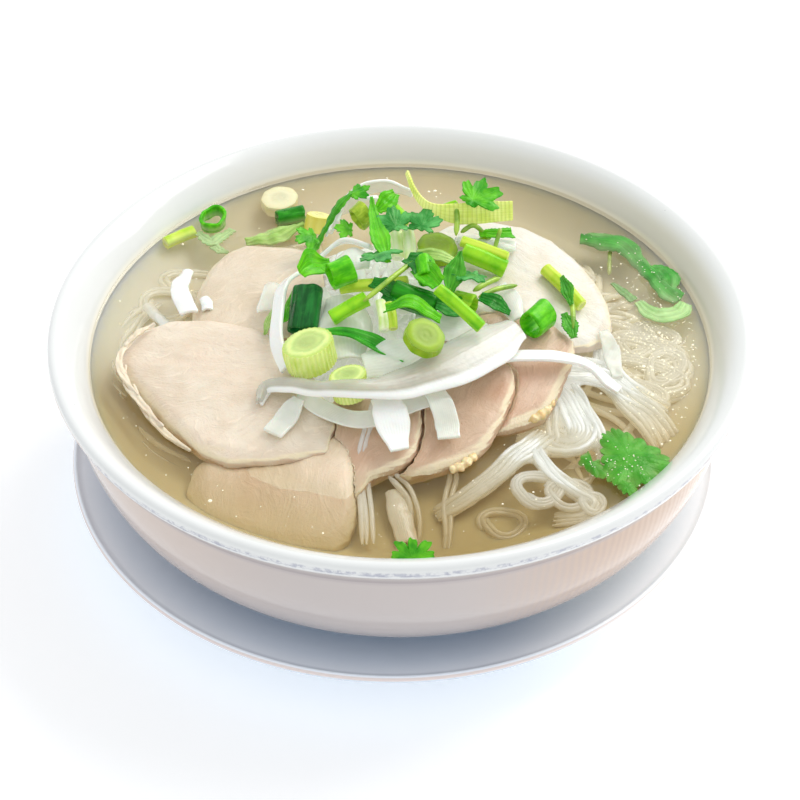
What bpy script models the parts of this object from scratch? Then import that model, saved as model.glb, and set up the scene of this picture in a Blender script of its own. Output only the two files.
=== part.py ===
"""Chicken pho: a bowl of noodle soup with sliced chicken, onion and herbs, on its underplate.

The origin is at the bottom centre of the underplate, below the bowl's axis. +Z is up, and the
front of the bowl faces -Y. Lengths in this file are in millimetres; MM turns them into metres.
"""

import math

import bmesh
import bpy
from mathutils import Matrix, Vector
from mathutils.bvhtree import BVHTree

MM = 0.001
GAP = 0.35  # clearance that every two neighbouring pieces keep

# Bowl
RIM_RADIUS = 100.0
RIM_HEIGHT = 64.0
RIM_BAND = 5.0  # height of the thick band round the rim
BOWL_FOOT_RADIUS = 46.0
BOWL_FOOT_WIDTH = 6.0
BOWL_FOOT_HEIGHT = 4.7
WALL_TOP_RADIUS = 96.1
WALL_BASE_RADIUS = 45.0
WALL_DEPTH = 55.0
WALL_POWER = 2.8
WALL_STEPS = (7.5, 22.0, 35.0, 45.0, 52.0)
CAVITY_RADIUS = 88.8
CAVITY_BASE_RADIUS = 38.0
CAVITY_DEPTH = 50.0
CAVITY_POWER = 3.2
LIP_FLARE = 8.3
LIP_FLARE_DEPTH = 12.0
CAVITY_STEPS = (50.0, 48.8, 44.5, 36.0, 23.0, 9.7)  # depths shared by the bowl and the broth
LIP_STEPS = (4.8, 1.2)

# Underplate
PLATE_CENTRE_X = -1.8
PLATE_RADIUS = 96.8
PLATE_HEIGHT = 18.6
PLATE_FLOOR = 4.0
PLATE_WELL_RADIUS = 58.0
PLATE_FOOT_RADIUS = 62.0
PLATE_FOOT_WIDTH = 5.0
PLATE_WALL = 3.4

# Contents
BROTH_LEVEL = RIM_HEIGHT - CAVITY_STEPS[-1]
HEAP_PEAK = 71.0
HEAP_PEAK_Y = 8.0
HEAP_RADIUS = 77.0
HEAP_MOUND = 40.0  # radius of the mound under the toppings
HEAP_FLOOR = 15.5
CHICKEN_THICKNESS = 6.0
ONION_THICKNESS = 2.0
LEAF_THICKNESS = 0.9

TURN_STEPS = 40
STEM_SIDES = 8
LEAF_POINTS = 18
FLAT_ANGLE = math.radians(3.0)  # faces that meet flatter than this are merged after a cut


# ---------------------------------------------------------------- helpers


def material(name, colour, roughness, metallic=0.0):
    """A plain Principled finish, made once for each name."""
    found = bpy.data.materials.get(name)
    if found:
        return found
    made = bpy.data.materials.new(name)
    made.use_nodes = True
    shader = made.node_tree.nodes["Principled BSDF"]
    shader.inputs["Base Color"].default_value = (*colour, 1.0)
    shader.inputs["Roughness"].default_value = roughness
    shader.inputs["Metallic"].default_value = metallic
    return made


def add_object(name, mesh, finish):
    """Put a mesh in the scene as one named piece with one finish."""
    piece = bpy.data.objects.new(name, mesh)
    mesh.materials.append(finish)
    PARTS.objects.link(piece)
    return piece


def mesh_from(name, shape):
    """Turn a bmesh in millimetres into a mesh in metres."""
    shape.normal_update()
    bmesh.ops.scale(shape, vec=(MM, MM, MM), verts=shape.verts)
    mesh = bpy.data.meshes.new(name)
    shape.to_mesh(mesh)
    shape.free()
    return mesh


def world_shape(piece):
    """The piece as it stands in the world, as a bmesh in millimetres."""
    bpy.context.view_layer.update()
    evaluated = piece.evaluated_get(bpy.context.evaluated_depsgraph_get())
    shape = bmesh.new()
    shape.from_mesh(evaluated.to_mesh())
    evaluated.to_mesh_clear()
    shape.transform(piece.matrix_world)
    bmesh.ops.scale(shape, vec=(1 / MM, 1 / MM, 1 / MM), verts=shape.verts)
    return shape


def smooth(points, count):
    """A Catmull-Rom curve through hand-set points, read at evenly spaced parameters."""
    points = [Vector(p) for p in points]
    first = points[0] * 2 - points[1]
    last = points[-1] * 2 - points[-2]
    knots = [first, *points, last]
    result = []
    for step in range(count):
        place = step / (count - 1) * (len(points) - 1)
        start = min(int(place), len(points) - 2)
        t = place - start
        a, b, c, d = knots[start : start + 4]
        result.append(
            0.5 * (2 * b + (c - a) * t + (2 * a - 5 * b + 4 * c - d) * t**2 + (3 * b - a - 3 * c + d) * t**3)
        )
    return result


def closed_smooth(points, count):
    """The same curve, closed on itself."""
    points = [Vector(p) for p in points]
    result = []
    for step in range(count):
        place = step / count * len(points)
        start = int(place)
        t = place - start
        a, b, c, d = (points[(start + k) % len(points)] for k in (-1, 0, 1, 2))
        result.append(
            0.5 * (2 * b + (c - a) * t + (2 * a - 5 * b + 4 * c - d) * t**2 + (3 * b - a - 3 * c + d) * t**3)
        )
    return result


def solidify(piece, thickness):
    """Give an open sheet its thickness, half on each side."""
    wall = piece.modifiers.new("thickness", "SOLIDIFY")
    wall.thickness = thickness * MM
    wall.offset = 0.0


# ---------------------------------------------------------------- crockery


def turned(name, profile, finish, centre_x=0.0):
    """Turn a profile of (radius, height) points about the vertical axis."""
    shape = bmesh.new()
    points = [shape.verts.new((radius, 0.0, height)) for radius, height in profile]
    for start, end in zip(points, points[1:]):
        shape.edges.new((start, end))
    piece = add_object(name, mesh_from(name, shape), finish)
    piece.location.x = centre_x * MM
    screw = piece.modifiers.new("turn", "SCREW")
    screw.steps = screw.render_steps = TURN_STEPS
    screw.use_merge_vertices = True
    screw.merge_threshold = 0.0001 * MM
    screw.use_smooth_shade = True
    return piece


def wall_radius(depth):
    """Outer radius of the bowl at a depth below its rim."""
    share = min(depth / WALL_DEPTH, 1.0)
    swell = WALL_TOP_RADIUS - WALL_BASE_RADIUS
    return WALL_BASE_RADIUS + swell * (1 - share**WALL_POWER) ** (1 / WALL_POWER)


def cavity_radius(depth):
    """Inner radius of the bowl at a depth below its rim, with the flare of the lip."""
    share = min(depth / CAVITY_DEPTH, 1.0)
    swell = CAVITY_RADIUS - CAVITY_BASE_RADIUS
    radius = CAVITY_BASE_RADIUS + swell * (1 - share**CAVITY_POWER) ** (1 / CAVITY_POWER)
    if depth < LIP_FLARE_DEPTH:
        radius += LIP_FLARE * (1 - depth / LIP_FLARE_DEPTH) ** 2
    return radius


def make_bowl():
    """A thick white bowl: flared lip, banded rim, full round wall and a foot ring."""
    cavity = [(0.0, RIM_HEIGHT - CAVITY_DEPTH)]
    for depth in CAVITY_STEPS + LIP_STEPS:
        cavity.append((cavity_radius(depth), RIM_HEIGHT - depth))
    rim = [
        (RIM_RADIUS - 2.4, RIM_HEIGHT),
        (RIM_RADIUS - 0.6, RIM_HEIGHT - 0.5),
        (RIM_RADIUS, RIM_HEIGHT - 1.8),
        (RIM_RADIUS, RIM_HEIGHT - RIM_BAND + 0.6),
        (RIM_RADIUS - 1.4, RIM_HEIGHT - RIM_BAND - 0.6),
    ]
    wall = [(wall_radius(depth), RIM_HEIGHT - depth) for depth in WALL_STEPS]
    foot_bottom = PLATE_FLOOR + GAP
    foot_inner = BOWL_FOOT_RADIUS - BOWL_FOOT_WIDTH
    foot = [
        (BOWL_FOOT_RADIUS + 1.0, RIM_HEIGHT - WALL_DEPTH),
        (BOWL_FOOT_RADIUS, foot_bottom),
        (foot_inner, foot_bottom),
        (foot_inner - 1.0, RIM_HEIGHT - WALL_DEPTH - 0.5),
        (0.0, RIM_HEIGHT - WALL_DEPTH - 0.5),
    ]
    return turned("bowl", cavity + rim + wall + foot, WHITE_GLAZE)


def make_underplate():
    """A shallow round plate with a flat well, a rising rim and a foot ring."""
    rise = PLATE_HEIGHT - PLATE_FLOOR
    reach = PLATE_RADIUS - PLATE_WELL_RADIUS
    top = [(0.0, PLATE_FLOOR), (PLATE_WELL_RADIUS, PLATE_FLOOR)]
    for share in (0.15, 0.4, 0.7, 0.93):
        top.append((PLATE_WELL_RADIUS + reach * share, PLATE_FLOOR + rise * share**1.25))
    foot_inner = PLATE_FOOT_RADIUS - PLATE_FOOT_WIDTH
    under = [
        (PLATE_RADIUS - 0.9, PLATE_HEIGHT),
        (PLATE_RADIUS, PLATE_HEIGHT - 0.9),
        (PLATE_RADIUS - 2.2, PLATE_HEIGHT - PLATE_WALL),
        (PLATE_WELL_RADIUS + reach * 0.62, PLATE_FLOOR + rise * 0.52 - PLATE_WALL),
        (PLATE_FOOT_RADIUS + 2.5, 2.4),
        (PLATE_FOOT_RADIUS, 0.0),
        (foot_inner, 0.0),
        (foot_inner - 1.0, 1.4),
        (0.0, 1.4),
    ]
    return turned("underplate", top + under, GREY_GLAZE, PLATE_CENTRE_X)


# ---------------------------------------------------------------- contents


def make_broth():
    """The soup up to its level; what stands in it is cut out later."""
    profile = [(0.0, BROTH_LEVEL)]
    for depth in reversed(CAVITY_STEPS):
        rise = GAP if depth > CAVITY_DEPTH / 2 else 0.0
        profile.append((cavity_radius(depth) - GAP, RIM_HEIGHT - depth + rise))
    profile.append((0.0, RIM_HEIGHT - CAVITY_DEPTH + GAP))
    return turned("broth", profile, BROTH)


def heap_radius(angle):
    """Uneven outline of the noodle heap, seen from above."""
    return HEAP_RADIUS + 5.0 * math.cos(angle + 0.3) + 2.0 * math.sin(3 * angle) + 1.2 * math.cos(7 * angle)


def heap_top(x, y):
    """Height of the noodle heap above a place: a broad mound on a wavy skirt."""
    mound = math.exp(-((math.hypot(x, y - HEAP_PEAK_Y) / HEAP_MOUND) ** 2.6))
    skirt = 51.0 + 1.2 * math.sin(0.07 * x + 1.0) * math.cos(0.06 * y)
    return skirt + (HEAP_PEAK - skirt) * mound


def make_noodles():
    """The heap of rice noodles as one uneven mound that stands on the bowl's floor."""
    shape = bmesh.new()
    bmesh.ops.create_uvsphere(shape, u_segments=18, v_segments=9, radius=1.0)
    for vert in shape.verts:
        angle = math.atan2(vert.co.y, vert.co.x)
        reach = math.sin(math.acos(max(-1.0, min(1.0, vert.co.z)))) ** 0.8
        radius = heap_radius(angle) * reach
        middle = 38.0
        if vert.co.z > 0:
            top = heap_top(radius * math.cos(angle), radius * math.sin(angle))
            height = middle + (top - middle) * min(1.0, vert.co.z * 2.6)
        else:
            base_radius = 0.62 * reach * heap_radius(angle)
            share = min(1.0, -vert.co.z * 1.6)
            radius = radius + (base_radius - radius) * share
            height = middle + (HEAP_FLOOR - middle) * share
        vert.co = Vector((radius * math.cos(angle), radius * math.sin(angle) - 3.0, height))
    return add_object("noodles", mesh_from("noodles", shape), NOODLE)


def make_slice(name, outline, sag=0.0):
    """A slice of chicken breast: a slab with a soft rim whose top follows its outline's heights.

    outline runs anticlockwise, seen from above; sag lifts or lowers the middle of the slice.
    """
    sides = 16
    rim = closed_smooth(outline, sides)
    centre = sum(rim, Vector()) / sides
    centre.z += sag
    rings = ((0.45, 1.0), (0.86, 0.96), (1.0, 0.45), (1.0, -0.45), (0.86, -0.96), (0.45, -1.0))
    shape = bmesh.new()
    bmesh.ops.create_uvsphere(shape, u_segments=sides, v_segments=len(rings) + 1, radius=1.0)
    for vert in shape.verts:
        step = math.acos(max(-1.0, min(1.0, vert.co.z))) / math.pi * (len(rings) + 1)
        ring = round(step) - 1
        side = round(math.atan2(vert.co.y, vert.co.x) / math.tau * sides) % sides
        if ring < 0 or ring >= len(rings):
            reach, lift = 0.0, (1.0 if ring < 0 else -1.0)
        else:
            reach, lift = rings[ring]
        place = centre.lerp(rim[side], reach)
        place.z += CHICKEN_THICKNESS / 2 * (lift - 0.5)
        vert.co = place
    return add_object(name, mesh_from(name, shape), CHICKEN)


# ---------------------------------------------------------------- resting pieces on the heap


def ground_tree(pieces):
    """A search tree over the surfaces of the pieces that already lie in the bowl."""
    points, faces = [], []
    for piece in pieces:
        shape = world_shape(piece)
        first = len(points)
        points.extend(vert.co.copy() for vert in shape.verts)
        faces.extend([first + vert.index for vert in face.verts] for face in shape.faces)
        shape.free()
    return BVHTree.FromPolygons(points, faces)


def ground_height(tree, x, y):
    """Height of the highest surface at a place."""
    hit = tree.ray_cast(Vector((x, y, 200.0)), Vector((0, 0, -1)))[0]
    return hit.z if hit else BROTH_LEVEL


def strip(name, path, widths, finish, thickness=ONION_THICKNESS, tilt=0.0, crown=0.0, drape=True):
    """A ribbon along a path of (x, y, z): an onion strip, a petal or a long leaf.

    With drape, z is the height above what lies below; otherwise it is the height in the bowl.
    tilt turns the ribbon about its length, and crown bows it across its width.
    """
    count = 2 * len(path) + 1
    middle = smooth(path, count)
    spread = [s.x for s in smooth([(w, 0, 0) for w in widths], count)]
    sides = []
    for step in range(count):
        ahead = middle[min(step + 1, count - 1)] - middle[max(step - 1, 0)]
        sides.append(Vector((-ahead.y, ahead.x, 0.0)).normalized())
    lean = math.radians(tilt)
    if drape:
        tree = ground_tree(LAID)
        ground = []
        for point, side, width in zip(middle, sides, spread):
            reach = width / 2 * math.cos(lean)
            ground.append(max(ground_height(tree, *(point + side * reach * k).xy) for k in (-1, -0.5, 0, 0.5, 1)))
        peaks = [max(ground[max(0, k - 1) : k + 2]) for k in range(count)]
        rise = abs(math.sin(lean))
        for step in range(count):
            around = peaks[max(0, step - 1) : step + 2]
            lift = thickness / 2 + GAP + spread[step] / 2 * rise
            middle[step].z += sum(around) / len(around) + lift
    shape = bmesh.new()
    bmesh.ops.create_grid(shape, x_segments=count - 1, y_segments=2 if crown else 1, size=1.0)
    for vert in shape.verts:
        step = round((vert.co.x + 1) / 2 * (count - 1))
        across = vert.co.y * spread[step] / 2
        bow = crown * (1 - vert.co.y**2)
        side = sides[step] * math.cos(lean) + Vector((0, 0, math.sin(lean)))
        vert.co = middle[step] + side * across + Vector((0, 0, bow))
    piece = add_object(name, mesh_from(name, shape), finish)
    solidify(piece, thickness)
    return lay(piece)


def pose_between(piece, start, end):
    """Stand a piece modelled along Z so that it runs from start to end."""
    start, end = Vector(start), Vector(end)
    turn = (end - start).to_track_quat("Z", "Y")
    piece.matrix_world = Matrix.Translation(start * MM) @ turn.to_matrix().to_4x4()


def stem(name, start, end, radius, finish, sink=0.0):
    """A solid cut stem or bulb slice between two points, rested on what lies below."""
    length = (Vector(end) - Vector(start)).length
    shape = bmesh.new()
    bmesh.ops.create_cone(
        shape,
        cap_ends=True,
        segments=STEM_SIDES,
        radius1=radius,
        radius2=radius * 0.97,
        depth=length,
        matrix=Matrix.Translation((0, 0, length / 2)),
    )
    piece = add_object(name, mesh_from(name, shape), finish)
    pose_between(piece, start, end)
    return lay(drop(piece, sink))


def tube(name, start, end, radius, wall, finish, sink=0.0):
    """A hollow cut leaf or ring: an open barrel with a wall, rested on what lies below."""
    length = (Vector(end) - Vector(start)).length
    shape = bmesh.new()
    bmesh.ops.create_cone(
        shape,
        cap_ends=False,
        segments=STEM_SIDES + 2,
        radius1=radius - wall / 2,
        radius2=(radius - wall / 2) * 0.96,
        depth=length,
        matrix=Matrix.Translation((0, 0, length / 2)),
    )
    piece = add_object(name, mesh_from(name, shape), finish)
    solidify(piece, wall)
    pose_between(piece, start, end)
    return lay(drop(piece, sink))


def leaf(name, centre, size, heading, tilt=0.0, slim=0.8):
    """A lobed coriander leaf, a little domed, rested on what lies below."""
    shape = bmesh.new()
    bmesh.ops.create_circle(shape, cap_ends=True, cap_tris=True, segments=LEAF_POINTS, radius=1.0)
    for vert in shape.verts:
        angle = math.atan2(vert.co.y, vert.co.x)
        reach = vert.co.length
        lobes = 0.74 + 0.2 * math.cos(3 * angle) + 0.08 * math.cos(9 * angle)
        radius = size / 2 * reach * lobes
        dome = -size * 0.06 * reach**2
        vert.co = Vector((radius * math.cos(angle), radius * math.sin(angle) * slim, dome))
    piece = add_object(name, mesh_from(name, shape), GREEN)
    solidify(piece, LEAF_THICKNESS)
    piece.location = Vector(centre) * MM
    piece.rotation_euler = (math.radians(tilt), 0.0, math.radians(heading))
    return lay(drop(piece))


def drop(piece, sink=0.0):
    """Lower a rigid piece straight down until it rests, a gap clear of everything laid so far.

    sink then lets it settle further, as far as it floats in the broth.
    """
    shape = world_shape(piece)
    points = [vert.co.copy() for vert in shape.verts]
    faces = [[vert.index for vert in face.verts] for face in shape.faces]
    points.extend(face.calc_center_median() for face in shape.faces)
    own = BVHTree.FromPolygons([vert.co for vert in shape.verts], faces)
    shape.free()
    tree = ground_tree(LAID)
    room = [point.z - ground_height(tree, *point.xy) for point in points]
    reach = max((point - points[0]).length for point in points) + 1.0
    for other in LAID:
        below = world_shape(other)
        for vert in below.verts:
            if (vert.co.xy - points[0].xy).length < reach:
                hit = own.ray_cast(vert.co - Vector((0, 0, 300)), Vector((0, 0, 1)))[0]
                if hit and ground_height(tree, *vert.co.xy) < vert.co.z + 0.01:
                    room.append(hit.z - vert.co.z)
        below.free()
    piece.location.z -= (min(room) - GAP + sink) * MM
    return piece


def lay(piece):
    """Fix a piece's facets, and count it among those that lie in the bowl, lowest first."""
    piece.modifiers.new("facets", "TRIANGULATE")
    LAID.append(piece)
    return piece


# ---------------------------------------------------------------- cutting pieces clear


def fattened(piece):
    """A copy of a piece, grown by the clearance, for cutting its neighbours."""
    shape = world_shape(piece)
    shape.normal_update()
    for vert in shape.verts:
        vert.co += vert.normal * (GAP * min(2.0, vert.calc_shell_factor()))
    name = "cut_" + piece.name
    cutter = bpy.data.objects.new(name, mesh_from(name, shape))
    cutter.hide_render = True
    cutter.display_type = "WIRE"
    CUTTERS.objects.link(cutter)
    return cutter


def keep_largest(shape):
    """Delete all but the largest of a mesh's separate bodies."""
    left = set(shape.verts)
    bodies = []
    while left:
        body, front = set(), [left.pop()]
        while front:
            vert = front.pop()
            body.add(vert)
            for edge in vert.link_edges:
                other = edge.other_vert(vert)
                if other in left:
                    left.discard(other)
                    front.append(other)
        bodies.append(body)
    bodies.sort(key=len)
    scraps = [vert for body in bodies[:-1] for vert in body]
    bmesh.ops.delete(shape, geom=scraps, context="VERTS")


def closed_volume(shape):
    """Volume of a mesh, or zero if any of its edges is open."""
    if any(len(edge.link_faces) != 2 for edge in shape.edges):
        return 0.0
    return shape.calc_volume(signed=True)


def carve(piece, cutter):
    """Cut a piece clear of one that lies on it or stands in it, and drop the offcuts."""
    before = world_shape(piece)
    least = 0.3 * closed_volume(before)
    before.free()
    cut = piece.modifiers.new("cut", "BOOLEAN")
    cut.operation = "DIFFERENCE"
    cut.object = cutter
    cut.use_self = True
    for solver in ("EXACT", "MANIFOLD"):
        cut.solver = solver
        shape = world_shape(piece)
        if closed_volume(shape) > least:
            break
        shape.free()
    keep_largest(shape)
    bmesh.ops.dissolve_limit(shape, angle_limit=FLAT_ANGLE, verts=shape.verts, edges=shape.edges)
    bmesh.ops.triangulate(shape, faces=shape.faces)
    finish = piece.data.materials[0]
    mesh = mesh_from(piece.name, shape)
    mesh.materials.clear()
    mesh.materials.append(finish)
    piece.modifiers.clear()
    piece.data = mesh
    piece.matrix_world = Matrix.Identity(4)


def tree_of(piece):
    """A search tree over one piece."""
    shape = world_shape(piece)
    tree = BVHTree.FromBMesh(shape)
    shape.free()
    return tree


def cut_all_clear(pieces):
    """Cut each piece by every later one that it meets."""
    cutters = [fattened(piece) for piece in pieces]
    cutter_trees = [tree_of(cutter) for cutter in cutters]
    for place, piece in enumerate(pieces):
        for later in range(place + 1, len(pieces)):
            if tree_of(piece).overlap(cutter_trees[later]):
                carve(piece, cutters[later])


# ---------------------------------------------------------------- the food


def make_chicken():
    """Seven slices, fanned like shingles from right to left, the last laid on top."""
    back_right = [
        (27, 37, 69), (9, 32, 69), (8, 8, 69), (30, -14, 65), (49, -13, 61), (59, -6, 58), (61, 1, 60),
        (59, 10, 62), (53, 23, 64), (42, 34, 67),
    ]
    right = [
        (33, -3, 67), (14, -12, 67), (8, -34, 62), (20, -42, 58), (28, -42, 56), (39, -37, 56), (43, -31, 58),
        (48, -19, 62), (48, -12, 64),
    ]
    front_right = [
        (20, -18, 67), (0, -24, 66), (-10, -42, 60), (-2, -58, 54), (10, -57, 55), (21, -51, 56), (26, -45, 59),
        (31, -33, 62), (31, -25, 65),
    ]
    front = [
        (4, -30, 64), (-14, -32, 63), (-24, -44, 58), (-22, -60, 53), (-12, -68, 52), (-8, -60, 54),
        (-1, -57, 56), (4, -53, 58), (6, -45, 61),
    ]
    left_back = [
        (-26, 31, 62), (-37, 35, 61), (-48, 37, 60), (-56, 31, 58), (-60, 19, 57), (-61, 8, 56), (-58, -4, 56),
        (-38, -10, 60), (-26, -4, 63), (-22, 16, 64),
    ]
    left_low = [
        (-18, -45, 58), (-30, -40, 56), (-48, -44, 53), (-56, -56, 51), (-53, -66, 49), (-39, -74, 48),
        (-26, -78, 48), (-16, -79, 49), (-12, -72, 51), (-12, -63, 54), (-13, -54, 57),
    ]
    left_big = [
        (-31, -12, 62), (-45, -4, 61), (-60, 1, 60), (-72, -2, 59), (-79, -8, 57), (-80, -16, 56),
        (-70, -29, 55), (-57, -46, 55), (-47, -54, 56), (-32, -54, 57), (-17, -51, 59), (-20, -38, 61),
        (-25, -24, 61),
    ]
    outlines = (back_right, right, front_right, front, left_back, left_low, left_big)
    for number, outline in enumerate(outlines, 1):
        lay(make_slice(f"chicken_{number}", outline, sag=0.8))


def make_onions():
    """Sliced onion: loose rings, petals and strips over the chicken."""
    strip("onion_piece_left", [(-62, 29, 0), (-65, 21, 0), (-63, 12, 0), (-59, 5, 0)], (5, 8, 8, 5), ONION, crown=2)
    strip("onion_petal_left", [(-37, 11, 0), (-37, -2, 0)], (6, 8), ONION, 1.6, crown=1)
    strip("onion_petal_middle", [(-16, -1, 0), (-15, -13, 0), (-14, -25, 0)], (9, 14, 10), ONION, 1.8, crown=1.5)
    strip("onion_petal_round", [(-15, 20, 0), (-15, 6, 0)], (8, 9), ONION, 1.8, crown=1.5)
    strip("onion_petal_back", [(17, 25, 0), (26, 24, 0), (34, 22, 0)], (4, 6, 5), ONION, 1.6)
    strip("onion_crescent_top", [(-20, 34, 2), (-17, 45, 5), (-7, 50, 5)], (6, 10, 6), ONION, 2.4, tilt=-65)
    strip("onion_strip_side", [(58, -5, 0), (60, -12, 0), (61, -20, 0)], (4, 6, 4), ONION, 2.2)
    low = [(-27, -36, 0), (-22, -41, 0), (-13, -46, 0), (-5, -46, 0), (3, -42, 0), (9, -40, 0)]
    strip("onion_band_low", low, (4, 5, 5, 5, 5, 4), ONION, tilt=25)
    strip("onion_strip_1", [(-27, -39, 0), (-30, -43, 0), (-34, -49, 0)], (5, 6.5, 6.5), ONION)
    strip("onion_strip_2", [(-4, -42, 0), (-2, -49, 0), (0, -56, 0)], (8, 10, 5), ONION)
    strip("onion_strip_3", [(9, -39, 0), (12, -45, 0), (13, -51, 0)], (6, 7, 6), ONION)
    right = [(18, -30, 0), (30, -25, 0.5), (43, -23, 1), (54, -22, 1), (61, -26, 0)]
    strip("onion_arc_right", right, (6, 4, 4, 4, 7), ONION)
    ring = [(-8, 12, 4), (-16, 16, 3), (-22, 14, 3), (-29, 8, 3), (-33, 0, 5), (-34, -10, 5), (-34, -19, 3)]
    strip("onion_ring_left", ring + [(-31, -28, 0)], (4, 4, 4, 4.5, 4.5, 4.5, 4.5, 4), ONION, tilt=45)
    stem("scallion_1", (-23.8, -27.6, 66), (-25.1, -26.9, 73.2), 6.8, PALE_GREEN)
    stem("scallion_2", (-13, -38.5, 62), (-14, -37.6, 69), 4.8, PALE_GREEN)
    front = [(-38, -38, 0), (-36, -33, 0), (-29, -36, 0), (-20, -42, 0), (-9, -43, 0)]
    front += [(3, -39, 0), (14, -33, 0), (24, -25, 0), (32, -17, 0)]
    strip("onion_petal_front", front, (1.5, 4, 5, 5, 6, 11, 14, 14, 8), ONION, 2.2, tilt=18, crown=1)


def make_green_pile():
    """Spring onion, leek and stems heaped on the onion."""
    tube("leek_tube", (-26, -1, 78), (-27.5, -12, 71), 4.2, 1.4, DARK_GREEN)
    strip("green_fold_1", [(-28, -4, 1), (-25, 1, 2), (-20, 7, 3)], (4, 9, 2), GREEN, 1.4, tilt=50)
    stem("stem_2", (-17, -1.4, 76), (-4.5, -1.2, 77), 1.9, PALE_GREEN)
    tube("green_ring_1", (-19.5, -4, 78), (-13.5, -1, 79), 4.2, 1.2, GREEN)
    stem("stem_1", (-19, -14, 74), (-9, -10, 78), 2.2, GREEN)
    strip("leaf_strip", [(-22, -18, 0), (-14, -19, 0), (-6, -22, 0), (2, -26, 0)], (3, 5, 5, 4), GREEN, 1.4)
    tube("green_tube_1", (-2, -5, 80), (10, -9, 78), 4.0, 1.3, DARK_GREEN)
    strip("green_fold_2", [(-4, -13, 4), (3, -15, 5), (11, -17, 4)], (6, 9, 6), GREEN, 1.4, tilt=20)
    stem("slice_1", (6.0, -30.2, 72), (6.9, -31.2, 75.2), 5.3, YELLOW_GREEN)
    stem("slice_2", (10.7, 18.4, 80), (10.8, 18.2, 83), 6.0, YELLOW_GREEN)
    stem("stem_3", (-1.3, 25, 86), (-0.7, 17, 82), 1.8, PALE_GREEN)
    stem("stem_4", (2.3, 24, 87), (3, 13, 83), 1.9, PALE_GREEN)
    strip("green_fold_3", [(5, -1, 1), (8, -5, 1), (11, -9, 1)], (5, 7, 5), GREEN, 1.4, tilt=30)
    stem("stem_5", (18, 14, 80), (30.5, 10.5, 76), 2.7, GREEN)
    stem("stem_6", (10, -17, 82), (22, -24, 74), 1.8, GREEN)
    tube("green_ring_2", (15, -5, 76), (20.5, -8, 76), 3.6, 1.2, YELLOW_GREEN)
    tube("green_ring_3", (36, -15, 68), (41, -9, 68), 4.0, 1.3, GREEN)
    stem("stem_7", (42, 13.5, 70), (52, 1, 66), 1.9, YELLOW_GREEN)
    stem("stem_8", (-4, 60, 84), (1.5, 52, 82), 2.3, GREEN)
    curl = [(2, 36, 88), (4, 30, 85), (8, 26, 82), (16, 25, 80), (25, 26, 80), (33, 27, 80)]
    strip("curly_strip", curl, (1.5, 2, 3, 6, 7, 6), YELLOW_GREEN, 1.3, tilt=70, drape=False)
    leaf("coriander_top", (23, 27, 84), 13, 30, tilt=20)
    leaf("coriander_middle", (3, 20, 88), 16, 200)
    strip("coriander_left", [(-13, 41, 2), (-21, 33, 2), (-27, 25, 1)], (3, 8, 6), GREEN, LEAF_THICKNESS, crown=1)


def make_floating_greens():
    """Greens that lie in the broth round the heap."""
    tube("green_ring_4", (-59, 57, 54), (-59, 56.6, 58), 4.4, 1.3, GREEN, sink=1.8)
    stem("stem_9", (-73, 45.5, 57), (-64.5, 52, 57), 1.9, GREEN, sink=2.0)
    tube("green_tube_2", (-39, 57.5, 58), (-30.5, 60.5, 58), 2.9, 1.2, DARK_GREEN, sink=2.5)
    stem("bulb_slice", (-38.6, 69.5, 50), (-38.6, 69.5, 54), 6.0, PALE_GREEN, sink=3.2)
    stem("bulb_chunk", (-26, 51, 58), (-25, 53, 63), 3.6, YELLOW_GREEN, sink=0.8)
    strip("pale_leaf", [(-48, 45, 0), (-39, 48, 0), (-30, 53, 0)], (3, 8, 3), PALE_GREEN, LEAF_THICKNESS, crown=1)
    leaf("coriander_front_right", (58, -54, 59), 33, -131, tilt=14)
    leaf("coriander_front", (4, -87, 64), 16, 180, tilt=35)
    wilted = [(56, 47, 0), (62, 46, 0), (69, 43, 0), (73, 35, 0), (77, 26, 0), (81, 19, 0), (84, 17, 0)]
    strip("wilted_leaf", wilted, (7, 9, 11, 11, 12, 11, 6), DARK_GREEN, LEAF_THICKNESS, crown=1)


def main():
    """Build every piece, lowest first, then cut neighbours clear of each other."""
    lay(make_bowl())
    make_underplate()
    lay(make_broth())
    lay(make_noodles())
    make_chicken()
    make_onions()
    make_green_pile()
    make_floating_greens()
    cut_all_clear(LAID[1:])


for old in list(bpy.data.objects):
    bpy.data.objects.remove(old)
PARTS = bpy.data.collections.new("pho_noodle_soup")
CUTTERS = bpy.data.collections.new("cutters")
bpy.context.scene.collection.children.link(PARTS)
bpy.context.scene.collection.children.link(CUTTERS)
LAID = []  # pieces that already lie in the bowl, lowest first

WHITE_GLAZE = material("white_glaze", (0.80, 0.80, 0.78), 0.18)
GREY_GLAZE = material("grey_glaze", (0.52, 0.58, 0.64), 0.25)
BROTH = material("broth", (0.56, 0.46, 0.27), 0.05)
NOODLE = material("rice_noodle", (0.78, 0.78, 0.70), 0.35)
CHICKEN = material("chicken", (0.76, 0.60, 0.44), 0.45)
ONION = material("onion", (0.85, 0.86, 0.80), 0.25)
DARK_GREEN = material("dark_green", (0.02, 0.16, 0.04), 0.35)
GREEN = material("green", (0.06, 0.36, 0.03), 0.35)
YELLOW_GREEN = material("yellow_green", (0.42, 0.60, 0.06), 0.35)
PALE_GREEN = material("pale_green", (0.62, 0.74, 0.34), 0.35)
main()
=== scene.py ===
"""Looks for a bowl of chicken pho on its underplate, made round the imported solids.

Lengths are in millimetres until a mesh is finished; MM turns them into metres. +Z is up, the eater's
side is -Y. Outlines and routes repeat those of the solids, whose heights are read from the frame.
"""

import math
import random

import bmesh
import bpy
import numpy as np
from mathutils import Euler, Matrix, Vector, noise
from mathutils.bvhtree import BVHTree


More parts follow.
